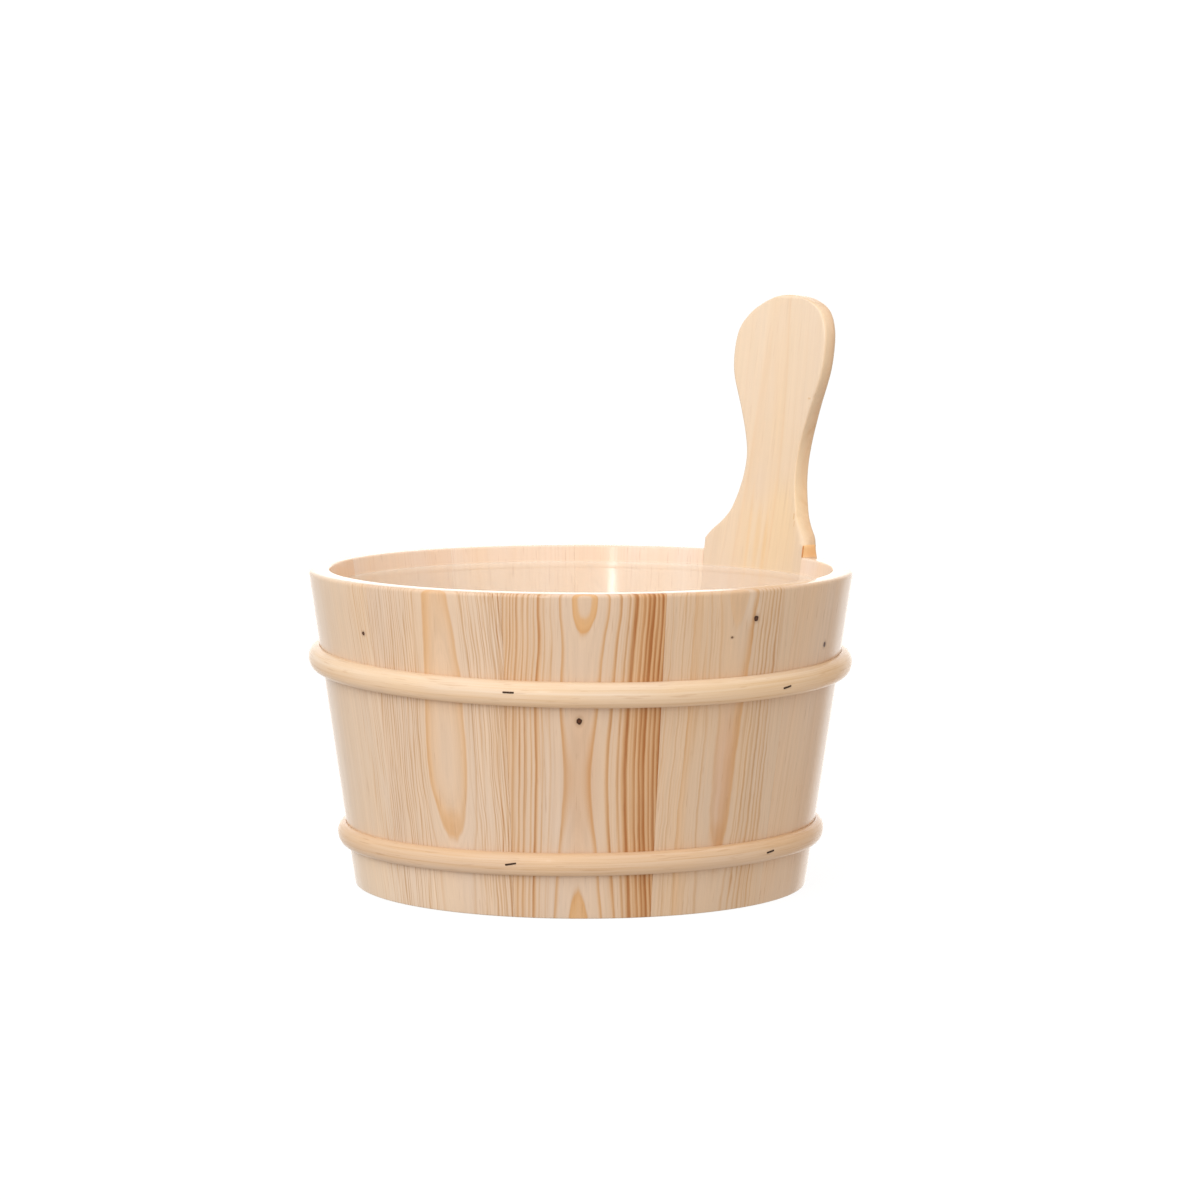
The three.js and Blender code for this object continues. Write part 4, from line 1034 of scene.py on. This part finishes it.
# --------------------------------------------------------------------------
# Floor, light and camera
# --------------------------------------------------------------------------
def floor():
    n, size = 16, 40000.0
    verts, faces = [], []
    for j in range(n + 1):
        for i in range(n + 1):
            verts.append((lerp(-size, size, i / n), lerp(-size, size, j / n), -0.25))
    for j in range(n):
        for i in range(n):
            k = j * (n + 1) + i
            faces.append((k, k + 1, k + n + 2, k + n + 1))
    ob = piece("floor", verts, faces)
    if ob.data.polygons[0].normal.z < 0:
        ob.data.flip_normals()
    nd = Nodes("floor_white")
    dif = nd.new("ShaderNodeBsdfDiffuse")
    dif.inputs[0].default_value = (0.10, 0.10, 0.10, 1)
    em = nd.new("ShaderNodeEmission")
    em.inputs[0].default_value = (1, 1, 1, 1)
    em.inputs[1].default_value = 0.93
    both = nd.new("ShaderNodeAddShader")
    clear = nd.new("ShaderNodeBsdfTransparent")
    pick = nd.new("ShaderNodeMixShader")
    geo = nd.new("ShaderNodeNewGeometry")
    out = nd.new("ShaderNodeOutputMaterial")
    nd.tree.links.new(dif.outputs[0], both.inputs[0])
    nd.tree.links.new(em.outputs[0], both.inputs[1])
    nd.tree.links.new(geo.outputs["Backfacing"], pick.inputs[0])
    nd.tree.links.new(both.outputs[0], pick.inputs[1])
    nd.tree.links.new(clear.outputs[0], pick.inputs[2])
    nd.tree.links.new(pick.outputs[0], out.inputs[0])
    ob.data.materials.append(nd.mat)
    ob.visible_diffuse = False
    ob.visible_glossy = False


def world():
    wd = bpy.data.worlds.new("studio")
    bpy.context.scene.world = wd
    wd.use_nodes = True
    t = wd.node_tree
    t.nodes.clear()
    co = t.nodes.new("ShaderNodeTexCoord")
    sp = t.nodes.new("ShaderNodeSeparateXYZ")
    t.links.new(co.outputs["Generated"], sp.inputs[0])

    def math_node(op, a, b, clamp=False):
        n = t.nodes.new("ShaderNodeMath")
        n.operation, n.use_clamp = op, clamp
        for s, v in zip(n.inputs, (a, b)):
            if isinstance(v, bpy.types.NodeSocket):
                t.links.new(v, s)
            else:
                s.default_value = v
        return n.outputs[0]

    x, y, z = sp.outputs
    level = math_node("ADD", math_node("MULTIPLY", math_node("MAXIMUM", z, 0.0), 0.40), 0.64)
    level = math_node("ADD", level, math_node("MULTIPLY", x, 0.05))
    back = t.nodes.new("ShaderNodeMapRange")
    back.interpolation_type = "SMOOTHSTEP"
    t.links.new(y, back.inputs[0])
    for i, v in zip((1, 2, 3, 4), (0.76, 0.90, 0.0, 1.0)):
        back.inputs[i].default_value = v
    more = t.nodes.new("ShaderNodeMapRange")
    t.links.new(x, more.inputs[0])
    for i, v in zip((1, 2, 3, 4), (-0.45, 0.45, 0.40, 0.80)):
        more.inputs[i].default_value = v
    level = math_node("ADD", level, math_node("MULTIPLY", back.outputs[0], more.outputs[0]))
    far = t.nodes.new("ShaderNodeMapRange")
    far.interpolation_type = "SMOOTHSTEP"
    t.links.new(y, far.inputs[0])
    for i, v in zip((1, 2, 3, 4), (0.94, 0.985, 0.0, 0.7)):
        far.inputs[i].default_value = v
    level = math_node("ADD", level, far.outputs[0])
    level = math_node("MAXIMUM", level, 0.2)
    bg = t.nodes.new("ShaderNodeBackground")
    out = t.nodes.new("ShaderNodeOutputWorld")
    t.links.new(level, bg.inputs["Strength"])
    bg.inputs["Color"].default_value = (1.0, 0.995, 0.985, 1)
    t.links.new(bg.outputs[0], out.inputs[0])


def area(name, where, target, size, watts, colour=(1, 1, 1)):
    li = bpy.data.lights.new(name, "AREA")
    li.shape, li.size, li.size_y = "RECTANGLE", size[0], size[1]
    li.energy, li.color = watts, colour
    ob = bpy.data.objects.new(name, li)
    bpy.context.scene.collection.objects.link(ob)
    ob.location = where
    ob.rotation_euler = (Vector(target) - Vector(where)).to_track_quat("-Z", "Y").to_euler()
    return ob


floor()
world()
area("key", (-1.25, -1.55, 1.45), (0, 0, 0.1), (1.4, 1.4), 18.0)
area("top", (0, -0.06, 0.62), (0, 0, 0.1), (0.3, 0.3), 0.44)
area("strip", (-0.64, -2.30, 0.95), (0, 0, 0.15), (0.12, 1.1), 10.0)

cam = bpy.data.cameras.new("camera")
cam.lens, cam.sensor_width, cam.sensor_fit = 126.12, 36.0, "HORIZONTAL"
cam.clip_start, cam.clip_end = 0.05, 60.0
eye = bpy.data.objects.new("camera", cam)
bpy.context.scene.collection.objects.link(eye)
turn = Matrix.Rotation(math.radians(-0.2614), 4, "Z") @ Matrix.Rotation(math.radians(90 - 5.79), 4, "X") @ Matrix.Rotation(math.radians(0.15), 4, "Z")
eye.matrix_world = Matrix.Translation((0, -1.998, 0.3377)) @ turn
bpy.context.scene.camera = eye

view = bpy.context.scene.view_settings
view.view_transform = "Standard"
view.look = "None"

bpy.context.view_layer.update()
